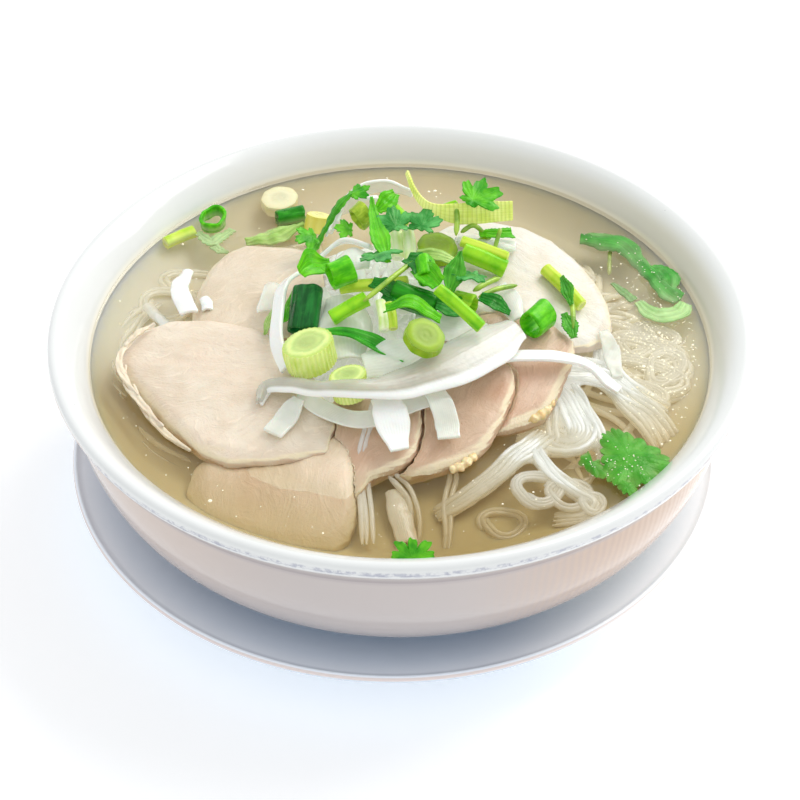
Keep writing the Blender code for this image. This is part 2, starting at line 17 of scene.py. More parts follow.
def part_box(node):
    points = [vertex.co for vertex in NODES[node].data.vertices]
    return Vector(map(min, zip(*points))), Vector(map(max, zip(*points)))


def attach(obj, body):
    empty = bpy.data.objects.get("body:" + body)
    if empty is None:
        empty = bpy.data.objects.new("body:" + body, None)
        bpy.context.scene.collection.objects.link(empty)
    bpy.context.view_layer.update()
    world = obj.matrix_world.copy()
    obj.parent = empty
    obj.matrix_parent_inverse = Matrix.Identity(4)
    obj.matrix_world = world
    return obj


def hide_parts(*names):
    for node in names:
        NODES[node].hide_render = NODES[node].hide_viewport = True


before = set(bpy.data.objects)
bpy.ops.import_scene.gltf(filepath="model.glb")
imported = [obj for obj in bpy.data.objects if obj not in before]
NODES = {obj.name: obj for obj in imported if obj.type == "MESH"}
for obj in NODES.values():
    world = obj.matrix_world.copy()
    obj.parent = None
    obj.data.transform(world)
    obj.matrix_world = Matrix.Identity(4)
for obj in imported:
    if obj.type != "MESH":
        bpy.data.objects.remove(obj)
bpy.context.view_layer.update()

MM = 0.001


def box_mm(node):
    """Lowest and highest corner of a solid, in millimetres."""
    low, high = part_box(node)
    return low / MM, high / MM


LEVEL = box_mm("broth")[1].z
RIM_HEIGHT = box_mm("bowl")[1].z
RIM_RADIUS = box_mm("bowl")[1].x
CAVITY_DEPTH = 50.0  # from the rim down to the bowl's floor
WALL_DEPTH = 55.0  # from the rim down to the turn of the outer wall
CLARITY = 3.4  # depth in the broth over which a colour fades to a third
MURK_DEPTH = 7.0  # depth at which nothing more is seen
# broth tones: the paler back is painted sheen, and BROTH_SHADE is painted shade at the back right
BROTH_FRONT = (212, 190, 130)
BROTH_BACK = (222, 211, 179)
BROTH_PALE = (238, 232, 210)
BROTH_SHADE = (198, 190, 158)
BROTH_LOW = (190, 167, 106)


def rgb(red, green, blue):
    """A colour as painters name it, 0 to 255, turned linear."""
    shares = [value / 255 for value in (red, green, blue)]
    return tuple(s / 12.92 if s <= 0.04045 else ((s + 0.055) / 1.055) ** 2.4 for s in shares)


def tinted(colour, *factors, lift=0):
    """A colour, 0 to 255, times one factor, or one for each channel, plus a lift; turned linear."""
    return rgb(*(min(255, value * factor + lift) for value, factor in zip(colour, factors * 3)))


# ---------------------------------------------------------------- shader maths


class Socket:
    """A shader value that adds its own Math nodes when it is used in an expression."""

    def __init__(self, finish, socket):
        self.finish = finish
        self.socket = socket

    def math(self, operation, *others):
        return self.finish.node("Math", {"operation": operation}, dict(enumerate((self, *others))))

    def __add__(self, other):
        return self.math("ADD", other)

    def __mul__(self, other):
        return self.math("MULTIPLY", other)

    def __sub__(self, other):
        return self.math("SUBTRACT", other)

    def __rsub__(self, other):
        return self * -1.0 + other

    __radd__ = __add__
    __rmul__ = __mul__

    def ramp(self, low, high, start=0.0, end=1.0):
        """A smooth step from start to end as the value goes from low to high."""
        settings = {"interpolation_type": "SMOOTHSTEP"}
        sockets = {0: self, 1: low, 2: high, 3: start, 4: end}
        return self.finish.node("MapRange", settings, sockets)


class Finish:
    """A material under construction: one Principled shader and what feeds it."""

    def __init__(self, name, fixed=None):
        self.material = bpy.data.materials.new(name)
        self.material.use_nodes = True
        self.tree = self.material.node_tree
        self.shader = self.tree.nodes["Principled BSDF"]
        for socket, value in (fixed or {}).items():
            self.shader.inputs[socket].default_value = value
        place = self.node("TexCoord", output="Object")
        scaled = {"operation": "SCALE"}
        self.place = self.node("VectorMath", scaled, {0: place, 3: 1 / MM})
        self.x, self.y, self.z = (self.node("SeparateXYZ", {}, {0: self.place}, part) for part in "XYZ")

    def node(self, kind, settings=None, sockets=None, output=0):
        """Add a shader node: its settings first, then the values or links of its sockets."""
        made = self.tree.nodes.new("ShaderNode" + kind)
        for name, value in (settings or {}).items():
            setattr(made, name, value)
        for name, value in (sockets or {}).items():
            if isinstance(value, Socket):
                self.tree.links.new(value.socket, made.inputs[name])
            elif isinstance(value, tuple) and len(value) == 3 and made.inputs[name].type == "RGBA":
                made.inputs[name].default_value = (*value, 1.0)
            else:
                made.inputs[name].default_value = value
        return Socket(self, made.outputs[output])

    def feed(self, **values):
        """Link or set sockets of the Principled shader; Base_Color stands for Base Color."""
        for name, value in values.items():
            socket = self.shader.inputs[name.replace("_", " ")]
            if isinstance(value, Socket):
                self.tree.links.new(value.socket, socket)
            else:
                socket.default_value = (*value, 1.0) if isinstance(value, tuple) else value

    def mix(self, first, second, share, blend="MIX"):
        """Two colours mixed by a share."""
        settings = {"data_type": "RGBA", "blend_type": blend, "clamp_factor": True}
        return self.node("Mix", settings, {0: share, 6: first, 7: second}, 2)

    def stretched(self, turn, size, place=None):
        """A place turned about Z by degrees, then measured in steps of the given sizes."""
        rotation = (0.0, 0.0, -math.radians(turn))
        turned = self.node("Mapping", {"vector_type": "POINT"}, {0: place or self.place, 2: rotation})
        scale = tuple(1 / step for step in size)
        return self.node("Mapping", {"vector_type": "POINT"}, {0: turned, 3: scale})

    def noise(self, size, detail=2.0, roughness=0.5, place=None, distortion=0.0):
        """Cloudy variation of a given size, from 0 to 1."""
        sockets = {"Scale": 1 / size, "Detail": detail, "Roughness": roughness, "Distortion": distortion}
        sockets["Vector"] = place or self.place
        return self.node("TexNoise", {}, sockets)

    def along_across(self):
        """The piece's own UV map: along its length, and across its width."""
        uv = self.node("UVMap")
        return self.node("SeparateXYZ", {}, {0: uv}, "X"), self.node("SeparateXYZ", {}, {0: uv}, "Y")

    def bump(self, height, distance, strength=1.0):
        """Feed a height in millimetres to the shader's normal."""
        sockets = {"Strength": strength, "Distance": distance * MM, "Height": height}
        self.feed(Normal=self.node("Bump", {}, sockets, "Normal"))

    def broth_colour(self):
        """Murky gold, paler towards the back of the bowl as painted sheen, with a painted shade patch at the
        back right.
        """
        cloud = self.noise(38.0, 2.0)
        share = self.y.ramp(-70.0, 80.0) * 0.75 + cloud * 0.3
        tone = self.mix(rgb(*BROTH_FRONT), rgb(*BROTH_BACK), share)
        right = self.x.ramp(45.0, 75.0) * self.y.ramp(-45.0, -5.0)
        left = self.x.ramp(-45.0, -80.0) * self.y.ramp(-35.0, 8.0)
        tone = self.mix(tone, rgb(*BROTH_PALE), (right * 0.7).math("MAXIMUM", left))
        shade = self.x.ramp(15.0, 65.0) * self.y.ramp(25.0, 55.0)
        tone = self.mix(tone, rgb(*BROTH_SHADE), shade * 0.9)
        low = self.y.ramp(-40.0, -70.0) * self.x.ramp(-25.0, 10.0)
        return self.mix(tone, rgb(*BROTH_LOW), low * self.x.ramp(62.0, 40.0))

    def under_broth(self, colour, inside=1.0, wetness=1.0):
        """What lies below the broth's level fades into its colour with depth; just above it is wet."""
        depth = (LEVEL - self.z).math("MAXIMUM", 0.0)
        wet = self.z.ramp(LEVEL + 2.6, LEVEL) * self.z.ramp(LEVEL - 0.1, LEVEL + 0.1)
        fade = 1.0 - (depth * (-1 / CLARITY)).math("EXPONENT") + wet * (0.3 * wetness)
        colour = self.mix(colour, (0.0, 0.0, 0.0), wet * (0.18 * wetness))
        return self.mix(colour, self.broth_colour(), fade * inside)

    def feed_with_painted_glow(self, tone, strength, roughness, wetness=1.0):
        """Feed a tone, seen through the broth, with a little glow: painted light that stands for light
        shining through thin wet food.
        """
        tone = self.under_broth(tone, wetness=wetness)
        self.feed(Base_Color=tone, Emission_Color=tone, Emission_Strength=strength, Roughness=roughness)


# ---------------------------------------------------------------- modelling helpers


def waver(x, y, z):
    """Smooth noise, from about -1 to 1, at a place given by three numbers."""
    return noise.noise(Vector((x, y, z)))


def placed(name, data):
    """A new object in the scene that holds this mesh, curve, lamp or camera."""
    piece = bpy.data.objects.new(name, data)
    bpy.context.scene.collection.objects.link(piece)
    return piece


def deselect():
    bpy.ops.object.select_all(action="DESELECT")


def take(piece):
    """Make a piece the only one selected, and the active one."""
    deselect()
    piece.select_set(True)
    bpy.context.view_layer.objects.active = piece


def modify(piece, kind, **settings):
    """Add a modifier with these settings, and apply it."""
    take(piece)
    modifier = piece.modifiers.new(kind, kind)
    for name, value in settings.items():
        setattr(modifier, name, value)
    bpy.ops.object.modifier_apply(modifier=modifier.name)


def weld(piece, reach=0.01):
    """Merge points that meet, such as at seams and poles, and turn the faces outwards."""
    take(piece)
    bpy.ops.object.mode_set(mode="EDIT")
    bpy.ops.mesh.select_all(action="SELECT")
    bpy.ops.mesh.remove_doubles(threshold=reach * MM)
    bpy.ops.mesh.normals_make_consistent(inside=False)
    bpy.ops.object.mode_set(mode="OBJECT")


def soften(piece, angle=40.0):
    """Smooth shading, with edges sharper than the angle left crisp."""
    take(piece)
    bpy.ops.object.shade_smooth_by_angle(angle=math.radians(angle))


def thicken(piece, thickness, rounded=True):
    """Give a sheet its thickness, rounded at its edges or left plain."""
    modify(piece, "SOLIDIFY", thickness=thickness * MM, offset=0.0)
    if rounded:
        modify(piece, "SUBSURF", levels=1, render_levels=1)
    soften(piece, 60.0)
    return piece


def finish_piece(piece, finish, slot, *nodes):
    """Give a piece its material, let it ride on the part, and hide the solids it stands for."""
    piece.data.materials.clear()
    piece.data.materials.append(finish.material)
    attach(piece, "root")
    if nodes:
        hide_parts(*nodes)
    return piece


def smooth_path(points, count):
    """A Catmull-Rom curve through given points, read at evenly spaced parameters."""
    points = [Vector(p) for p in points]
    knots = [points[0] * 2 - points[1], *points, points[-1] * 2 - points[-2]]
    result = []
    for step in range(count):
        place = step / (count - 1) * (len(points) - 1)
        start = min(int(place), len(points) - 2)
        t = place - start
        a, b, c, d = knots[start : start + 4]
        result.append(
            0.5 * (2 * b + (c - a) * t + (2 * a - 5 * b + 4 * c - d) * t**2 + (3 * b - a - 3 * c + d) * t**3)
        )
    return result


def at(values, share):
    """A list of values read like a smooth curve at a share of its length."""
    place = max(0.0, min(1.0, share)) * (len(values) - 1)
    start = min(int(place), len(values) - 2)
    t = place - start
    t = t * t * (3 - 2 * t)
    return values[start] + (values[start + 1] - values[start]) * t


def shaped_sheet(name, along, across, place):
    """A grid whose points are moved to place(u, v), in millimetres; it keeps its own UV map."""
    deselect()
    bpy.ops.mesh.primitive_grid_add(x_subdivisions=along, y_subdivisions=across, size=2)
    sheet = bpy.context.object
    sheet.name = sheet.data.name = name
    for vert in sheet.data.vertices:
        vert.co = place((vert.co.x + 1) / 2, (vert.co.y + 1) / 2) * MM
    return sheet


def turned(name, profile, centre_x=0.0, steps=192):
    """A profile of (radius, height) points turned about the vertical axis, closed at its seam and poles."""
    last = len(profile) - 1

    def place(u, v):
        radius, height = profile[round(u * last)]
        return Vector((centre_x + radius * math.cos(v * math.tau), radius * math.sin(v * math.tau), height))

    piece = shaped_sheet(name, last, steps, place)
    weld(piece)
    return piece


def solid_copy(node, name):
    """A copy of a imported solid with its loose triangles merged."""
    piece = placed(name, NODES[node].data.copy())
    weld(piece, 0.001)
    return piece


def tree_of(*pieces):
    """A search tree, in millimetres, over solids given by node or over finished pieces."""
    points, faces = [], []
    for piece in pieces:
        mesh = (NODES[piece] if isinstance(piece, str) else piece).data
        first = len(points)
        points.extend(vert.co / MM for vert in mesh.vertices)
        faces.extend([first + k for k in face.vertices] for face in mesh.polygons)
    return BVHTree.FromPolygons(points, faces)


def hit_height(tree, x, y, start=200.0):
    """Height at which a vertical ray meets a surface, from above or from below."""
    heading = Vector((0, 0, -1 if start > 0 else 1))
    hit = tree.ray_cast(Vector((x, y, start)), heading)[0]
    return hit.z if hit else None


def scattered(name, pattern, matrices):
    """One mesh with a copy of a small pattern piece at every matrix; the pattern is used up."""
    shape = bmesh.new()
    for matrix in matrices:
        copy = pattern.data.copy()
        copy.transform(matrix)
        shape.from_mesh(copy)
        bpy.data.meshes.remove(copy)
    mesh = bpy.data.meshes.new(name)
    shape.to_mesh(mesh)
    shape.free()
    bpy.data.objects.remove(pattern)
    return placed(name, mesh)


# ---------------------------------------------------------------- crockery


def superellipse(depth, full_depth, power):
    """Share of the swell that is left at a depth below the rim."""
    share = min(depth / full_depth, 1.0)
    return (1 - share**power) ** (1 / power)


def cavity_radius(depth):
    """Inner radius of the bowl at a depth below its rim, with the flare of the lip."""
    radius = 38.0 + 50.8 * superellipse(depth, CAVITY_DEPTH, 3.2)
    if depth < 12.0:
        radius += 8.3 * (1 - depth / 12.0) ** 2
    return radius


def wall_radius(depth):
    """Outer radius of the bowl at a depth below its rim."""
    return 45.0 + 51.1 * superellipse(depth, WALL_DEPTH, 2.8)


def eased(full_depth, start, count):
    """Depths from start down to full depth, closer together where the wall turns under."""
    angles = np.linspace(math.asin((start / full_depth) ** 1.5), math.pi / 2, count)
    return [full_depth * math.sin(angle) ** (2 / 3) for angle in angles]


def glaze(name, colour, roughness):
    """White crockery glaze: coat, faint unevenness and small specks."""
    fixed = {"Coat Weight": 0.35, "Coat Roughness": 0.04, "IOR": 1.5}
    finish = Finish(name, fixed)
    cloud = finish.noise(30.0, 2.0)
    tone = finish.mix(rgb(*colour), tinted(colour, 0.965), cloud)
    specks = finish.node("TexVoronoi", {}, {"Vector": finish.place, "Scale": 1 / 9}, "Distance")
    tone = finish.mix(tone, tinted(colour, 0.8), specks.ramp(0.030, 0.018) * 0.5)
    finish.feed(Roughness=finish.noise(14.0, 3.0) * 0.12 + (roughness - 0.06))
    wave = finish.noise(11.0, 2.0) + finish.noise(1.6, 2.0) * 0.04
    finish.bump(wave, 0.25, 0.5)
    return finish, tone


def bowl_finish():
    """Cool white inside and on the lip, with painted shade and a warm painted bounce on the inner back and
    right, and painted shade towards the back; outside a darker, warmer grey that is painted shade with a
    painted warm reflection, most orange at the right, where the ribs are painted lighter as painted light; a
    worn line below the lip, painted orange at the sides as a reflection; painted shade in the groove; and a
    painted glow on the inner wall at the broth line.
    """
    finish, tone = glaze("bowl_glaze", (229, 230, 228), 0.16)
    normal = finish.node("NewGeometry", {}, {}, "Normal")
    out = finish.node("VectorMath", {"operation": "NORMALIZE"}, {0: finish.place})
    facing = finish.node("VectorMath", {"operation": "DOT_PRODUCT"}, {0: normal, 1: out}, "Value")
    outside = facing.ramp(0.0, 0.35) * finish.z.ramp(RIM_HEIGHT - 3.5, RIM_HEIGHT - 6.0)
    angle = finish.y.math("ARCTAN2", finish.x)
    # painted shade and reflection: the outer wall is a darker, warmer grey than the glaze, with a warm
    # painted reflection that grows to the right and lower down, and the ribs painted as lighter stripes only
    # on the right, where the light falls
    ribs = (angle * 250.0 + finish.noise(9.0) * 5.0).math("SINE") * 0.5 + 0.5
    right = finish.x.ramp(10.0, 80.0) * (finish.y.ramp(70.0, 5.0) * 0.7 + 0.3)
    left = finish.x.ramp(-20.0, -80.0)
    outer_shade_and_reflection = finish.mix(rgb(190, 181, 178), rgb(204, 186, 174), left)
    outer_shade_and_reflection = finish.mix(outer_shade_and_reflection, rgb(194, 157, 128), finish.z.ramp(40.0, 14.0) * 0.15 + right * 0.85)
    outer_shade_and_reflection = finish.mix(outer_shade_and_reflection, rgb(208, 182, 158), ribs * right * 0.6)
    # painted shade with a warm painted bounce from the broth, on the inner back and right wall below the lip
    inner_shade_and_bounce = (finish.x * 0.7 + finish.y).ramp(5.0, 85.0)
    tone = finish.mix(tone, rgb(206, 202, 186), inner_shade_and_bounce * finish.z.ramp(RIM_HEIGHT - 0.5, RIM_HEIGHT - 5.0))
    # painted shade: the lip and inner wall greyer towards the back
    tone = finish.mix(tone, rgb(214, 215, 213), finish.y.ramp(40.0, 98.0) * 0.6)
    tone = finish.mix(tone, outer_shade_and_reflection, outside)
    radius = (finish.x * finish.x + finish.y * finish.y).math("SQRT")
    edge = RIM_HEIGHT - 2.7
    line = (finish.z - edge).math("ABSOLUTE").ramp(1.4, 0.5) * radius.ramp(RIM_RADIUS - 1.2, RIM_RADIUS - 0.3)
    worn = finish.noise(2.2, 4.0, 0.7).ramp(0.44, 0.62)
    # the worn line is bluish grey wear; towards the sides it is painted orange as a reflection
    side = finish.x.math("ABSOLUTE").ramp(72.0, 96.0)
    wear_and_reflection_tone = finish.mix(rgb(160, 162, 178), rgb(206, 142, 92), side)
    tone = finish.mix(tone, wear_and_reflection_tone, line * (worn * 0.7 + 0.15 + side * 0.25))
    # painted shade in the groove below the band
    groove_shade = (finish.z - (RIM_HEIGHT - 9.5)).math("ABSOLUTE").ramp(1.6, 0.2) * outside
    tone = finish.mix(tone, rgb(172, 162, 164), groove_shade * 0.6)
    foot = (finish.z - 12.4).math("ABSOLUTE").ramp(0.7, 0.1) * outside
    tone = finish.mix(tone, rgb(214, 178, 172), foot * 0.7)
    finish.feed(Base_Color=finish.under_broth(tone, facing.ramp(0.05, -0.05)))
    # painted light: the inner wall glows a little around the broth line, to lift the shade there
    waterline_glow = (finish.z - (LEVEL + 0.5)).math("ABSOLUTE").ramp(2.0, 0.3) * facing.ramp(0.05, -0.05)
    glow = finish.mix((0.0, 0.0, 0.0), rgb(226, 218, 196), waterline_glow)
    finish.feed(Emission_Color=glow, Emission_Strength=0.22)
    return finish


def make_bowl():
    """A thick round bowl: flared lip, banded rim, full wall and a foot ring."""
    cavity = [(cavity_radius(depth), depth) for depth in reversed(eased(CAVITY_DEPTH, 1.2, 40))]
    rim = [
        (2.6, 0.25), (2.0, 0.0), (1.1, 0.15), (0.45, 0.6), (0.1, 1.3), (0.0, 2.2), (0.1, 2.7), (0.35, 3.0),
        (0.5, 3.6), (0.7, 4.4), (1.3, 5.1), (2.3, 5.7), (3.2, 6.2), (3.7, 6.9),
    ]
    rim = [(RIM_RADIUS - inset, depth) for inset, depth in rim]
    wall = [(wall_radius(depth), depth) for depth in eased(WALL_DEPTH, 7.8, 40)]
    base = RIM_HEIGHT - box_mm("bowl")[0].z
    foot = [(46.6, 4.2), (46.2, 0.5), (45.7, 0.0), (40.3, 0.0), (39.8, 0.4), (39.0, 4.0)]
    foot = [(radius, base - height) for radius, height in foot]
    under = [(38.0, WALL_DEPTH + 0.5), (0.0, WALL_DEPTH + 0.5)]
    profile = [(0.0, CAVITY_DEPTH)] + cavity + rim + wall + foot + under
    bowl = turned("bowl_of_soup", [(radius, RIM_HEIGHT - depth) for radius, depth in profile])
    soften(bowl, 50.0)
    finish_piece(bowl, bowl_finish(), "white_glaze", "bowl")


def make_plate():
    """A shallow plate with a flat well, a rising rim with a rolled edge, and a foot ring."""
    low, high = box_mm("underplate")
    centre = (low.x + high.x) / 2
    radius, height = (high.x - low.x) / 2, high.z
    well, floor = 58.0, 4.0

    def rising(share, thickness=0.0):
        return well + (radius - well) * share, floor + (height - floor) * share**1.25 - thickness

    top = [(0.0, floor), (40.0, floor)] + [rising(step / 25) for step in range(25)]
    edge = [(1.2, 0.12), (0.7, 0.0), (0.2, 0.3), (0.0, 0.9), (0.3, 1.6), (1.2, 2.6)]
    edge = [(radius - inset, height - drop) for inset, drop in edge]
    under = [rising(1 - step / 16 * 0.82, 3.4) for step in range(1, 16)]
    under = [(reach, max(2.4, level)) for reach, level in under]
    foot = [(63.0, 1.9), (62.2, 0.4), (61.8, 0.0), (57.2, 0.0), (56.8, 0.3), (56.0, 1.4), (0.0, 1.4)]
    plate = turned("plate_under_bowl", top + edge + under + foot, centre)
    soften(plate, 50.0)
    finish, tone = glaze("plate_glaze", (233, 242, 252), 0.2)
    brim = finish.z.ramp(height - 4.5, height - 0.5)
    tone = finish.mix(tone, rgb(243, 247, 252), brim * 0.7)
    from_axis = (finish.x - centre) * (finish.x - centre) + finish.y * finish.y
    bare = from_axis.math("SQRT").ramp(radius - 0.55, radius - 0.15)
    tone = finish.mix(tone, rgb(214, 190, 176), bare * 0.8)
    # painted light: the plate glows, dim blue at the left and bright at the right, where the key light falls
    glow = finish.mix(rgb(92, 113, 138), rgb(226, 246, 255), finish.x.ramp(20.0, 84.0))
    finish.feed(Base_Color=tone, Emission_Color=glow, Emission_Strength=0.3)
    finish_piece(plate, finish, "grey_glaze", "underplate")


# ---------------------------------------------------------------- broth


def down_the_wall(level, reach, drop):
    """The rest of a liquid's profile: down inside the wall below a level, and across the floor."""
    depths = [depth for depth in eased(CAVITY_DEPTH - 0.3, 1.2, 30) if depth > RIM_HEIGHT - level]
    wall = [(cavity_radius(depth) + reach, RIM_HEIGHT - depth - drop) for depth in depths]
    return wall + [(0.0, RIM_HEIGHT - CAVITY_DEPTH - drop)]


def make_broth():
    """Clear gold liquid: a gloss film on see-through soup, over the murk that closes it below."""
    rings = [(0.0, LEVEL), (30.0, LEVEL), (60.0, LEVEL), (82.0, LEVEL)]
    wall = cavity_radius(RIM_HEIGHT - LEVEL) + 0.3
    for creep in (4.5, 2.4, 1.4, 0.8, 0.3, 0.0):
        rings.append((wall - creep, LEVEL + 0.8 * math.exp(-creep / 0.9)))
    rings.append((wall + 0.6, LEVEL + 0.8))
    broth = turned("broth_clear", rings + down_the_wall(LEVEL - 0.3, 0.3, 0.2), steps=128)
    soften(broth)
    finish = Finish("broth_film")
    ripple = finish.noise(26.0, 2.0) + finish.noise(7.0, 2.0) * 0.12
    bump = finish.node("Bump", {}, {"Strength": 0.6, "Distance": 0.35 * MM, "Height": ripple}, "Normal")
    clear = finish.node("BsdfTransparent", {}, {"Color": (0.985, 0.975, 0.95)})
    haze = finish.node("BsdfDiffuse", {}, {"Color": finish.broth_colour()})
    clear = finish.node("MixShader", {}, {0: 0.06, 1: clear, 2: haze})
    shine = finish.node("BsdfGlossy", {}, {"Color": (1.0, 1.0, 1.0), "Roughness": 0.04, "Normal": bump})
    fresnel = finish.node("Fresnel", {}, {"IOR": 1.34, "Normal": bump})
    film = finish.node("MixShader", {}, {0: fresnel, 1: clear, 2: shine})
    finish.tree.nodes.remove(finish.shader)
    finish.tree.links.new(film.socket, finish.tree.nodes["Material Output"].inputs["Surface"])
    finish_piece(broth, finish, "broth", "broth")

    top, brim = LEVEL - MURK_DEPTH, LEVEL - 0.2
    reach = cavity_radius(RIM_HEIGHT - brim) + 0.25
    rings = [(0.0, top), (40.0, top), (68.0, top)]
    for step in range(17):
        share = step / 16
        rings.append((reach - 12.0 * (1 - share), top + (brim - top) * share**1.7))
    murk = turned("broth_depths", rings + down_the_wall(brim - 0.5, 0.25, 0.15), steps=96)
    soften(murk)
    fixed = {"Roughness": 0.6, "Subsurface Weight": 1.0, "Subsurface Scale": 0.006}
    finish = Finish("broth_murk", {**fixed, "Subsurface Radius": (1.0, 0.85, 0.6)})
    finish.feed(Base_Color=finish.broth_colour())
    finish_piece(murk, finish, "broth", "broth")


def make_droplets():
    """Fine beads of fat on the broth, thickest at the right, and a few larger ones."""
    dice = random.Random(11)
    tree = tree_of("noodles", *(f"chicken_{k}" for k in range(1, 8)))
    matrices = []
    afloat, shore = 1100, 86  # how many lie on the broth, and how far out

    def drop(x, y, z, size, flatness):
        shape = Matrix.Diagonal((size, size, size * flatness, 1.0))
        matrices.append(Matrix.Scale(MM, 4) @ Matrix.Translation((x, y, z)) @ shape)

    while len(matrices) < afloat:
        if dice.random() < 0.62:
            x, y = dice.gauss(74, 7), dice.gauss(-4, 17)
        else:
            angle, reach = dice.uniform(0, math.tau), shore * math.sqrt(dice.random())
            x, y = reach * math.cos(angle), reach * math.sin(angle)
        below = hit_height(tree, x, y)
        if math.hypot(x, y) > shore or (below and below > LEVEL - 0.3):
            continue
        drop(x, y, LEVEL, min(0.6, dice.lognormvariate(-1.85, 0.45)), 0.5)
    for leaf, count in (("leaf_afloat", 46), ("leaf_wilted_leaf", 40), ("leaf_afloat_tail", 8)):
        surface = tree_of(bpy.data.objects[leaf])
        corners = [vert.co / MM for vert in bpy.data.objects[leaf].data.vertices]
        while count:
            spot = dice.choice(corners)
            top = hit_height(surface, spot.x, spot.y)
            if top is None or (leaf == "leaf_afloat" and spot.x + spot.y > dice.gauss(6, 5)):
                continue
            size = dice.uniform(0.1, 0.24)
            drop(spot.x, spot.y, top + size * 0.25, size, 0.6)
            count -= 1
    deselect()
    bpy.ops.mesh.primitive_ico_sphere_add(subdivisions=2, radius=1.0)
    beads = scattered("fat_beads", bpy.context.object, matrices)
    soften(beads, 180.0)
    # painted light: the beads glow a little, as painted glints
    fixed = {"Roughness": 0.03, "IOR": 1.46, "Coat Weight": 1.0, "Alpha": 0.7, "Emission Strength": 0.25}
    finish = Finish("fat", fixed)
    tone = finish.mix(rgb(240, 230, 190), rgb(252, 250, 238), finish.noise(3.0))
    finish.feed(Base_Color=tone, Emission_Color=tone)
    finish_piece(beads, finish, "broth")


# ---------------------------------------------------------------- noodles


def noodle_finish(name, clear):
    """Wet rice noodle; clear is how solid it looks."""
    fixed = {"Subsurface Weight": 0.7, "Subsurface Scale": 0.003, "Coat Weight": 0.5, "Coat Roughness": 0.08}
    finish = Finish(name, {**fixed, "Subsurface Radius": (1.0, 0.95, 0.85)})
    cloud = finish.noise(6.0, 3.0)
    tone = finish.mix(rgb(226, 226, 216), rgb(240, 242, 237), cloud)
    # painted light: the noodles glow a little
    finish.feed_with_painted_glow(tone, 0.17, finish.noise(3.0) * 0.2 + 0.2, wetness=0.0)
    if clear < 1.0:
        finish.feed(Alpha=cloud * 0.15 + (clear - 0.07))
    finish.bump(finish.noise(1.4, 2.0), 0.12)
    return finish


def strands(name, routes, radius):
    """Thin round strands along routes in millimetres, as one bevelled mesh with rounded tips."""
    curve = bpy.data.curves.new(name, "CURVE")
    curve.dimensions = "3D"
    curve.bevel_depth = radius * MM
    curve.bevel_resolution = 2
    curve.use_fill_caps = True
    for number, route in enumerate(routes):
        spline = curve.splines.new("POLY")
        spline.points.add(len(route) - 1)
        girth = 1.0 + 0.12 * math.sin(number * 2.4)
        for point, place in zip(spline.points, route):
            point.co = (*(place * MM), 1.0)
            point.radius = girth
        for end, size in ((0, 0.35), (1, 0.8), (-1, 0.35), (-2, 0.8)):
            spline.points[end].radius = size
    take(placed(name, curve))
    bpy.ops.object.convert(target="MESH")
    piece = bpy.context.object
    weld(piece)
    soften(piece, 80.0)
    return piece


def bundle(points, count, spread, dice, lift=0.5):
    """Parallel strands that follow one given route and cross a little."""
    routes = []
    length = sum((Vector(b) - Vector(a)).length for a, b in zip(points, points[1:]))
    steps = max(8, int(length / 2.0))
    middle = smooth_path(points, steps)
    for number in range(count):
        offset = (number - (count - 1) / 2) / max(1, count - 1) * spread
        phase = dice.uniform(0, 9)
        cross = dice.uniform(-0.6, 0.6) * spread
        route = []
        for step, place in enumerate(middle):
            ahead = middle[min(step + 1, steps - 1)] - middle[max(step - 1, 0)]
            side = Vector((-ahead.y, ahead.x, 0)).normalized()
            share = step / (steps - 1)
            sway = offset + cross * (share - 0.5) + 0.9 * waver(phase, share * 3, 0)
            rise = lift * 1.6 * waver(phase, share * 2.5, 7.0)
            route.append(place + side * sway + Vector((0, 0, rise)))
        routes.append(route)
    return routes


def loop(centre, width, depth, turns, dice, turn=0.0, sink=1.0):
    """A strand that curls round and round, as noodles do where they float free."""
    route = []
    per_turn = 26
    steps = int(turns * per_turn)
    start = dice.uniform(0, math.tau)
    for step in range(steps):
        angle = start + step / per_turn * math.tau
        share = step / (steps - 1)
        reach = 0.66 + 0.42 * share + 0.08 * math.sin(3 * angle)
        flat = Vector((width * reach * math.cos(angle), depth * reach * math.sin(angle), 0))
        flat.rotate(Euler((0, 0, math.radians(turn))))
        drop = -sink * (0.5 + 0.5 * math.sin(angle + 1.0 + 2 * share))
        route.append(Vector(centre) + flat + Vector((0, 0, drop)))
    return route


def heap_routes(dice):
    """Strands that wander over the heap, under its outline, where the toppings don't press on it."""
    tree = tree_of("noodles")
    routes = []
    wanted, stride = 190, 2.4  # how many strands, and how far apart their points
    while len(routes) < wanted:
        angle, reach = dice.uniform(0, math.tau), 74 * math.sqrt(dice.random())
        place = Vector((reach * math.cos(angle), reach * math.sin(angle) - 3, 0))
        heading = dice.uniform(0, math.tau)
        curl = dice.uniform(-0.10, 0.10)
        depth = dice.uniform(0.3, 2.4)
        route = []
        for step in range(dice.randrange(18, 40)):
            top = hit_height(tree, place.x, place.y)
            if top is None:
                break
            cover = top - depth - 1.3
            if math.hypot(place.x, place.y) > 40:
                cover = min(cover, LEVEL - 2.0 - open_water(place.x, place.y))
            route.append(Vector((place.x, place.y, cover)))
            heading += curl + 0.22 * waver(step * 0.13, depth, angle)
            place += Vector((math.cos(heading), math.sin(heading), 0)) * stride
        if len(route) > 9:
            heights = [point.z for point in route]
            for step, point in enumerate(route):
                near = heights[max(0, step - 2) : step + 3]
                point.z = min(sum(near) / len(near), point.z + 0.6)
            routes.append(route)
    return routes


def open_water(x, y):
    """How much deeper the noodles lie round the heap: shallow at the right and back left."""
    angle = math.degrees(math.atan2(y, x))
    shallow = max(math.exp(-(((angle - 5) / 38) ** 2)), 0.8 * math.exp(-(((angle - 150) / 28) ** 2)))
    return 7.0 * (1 - shallow)


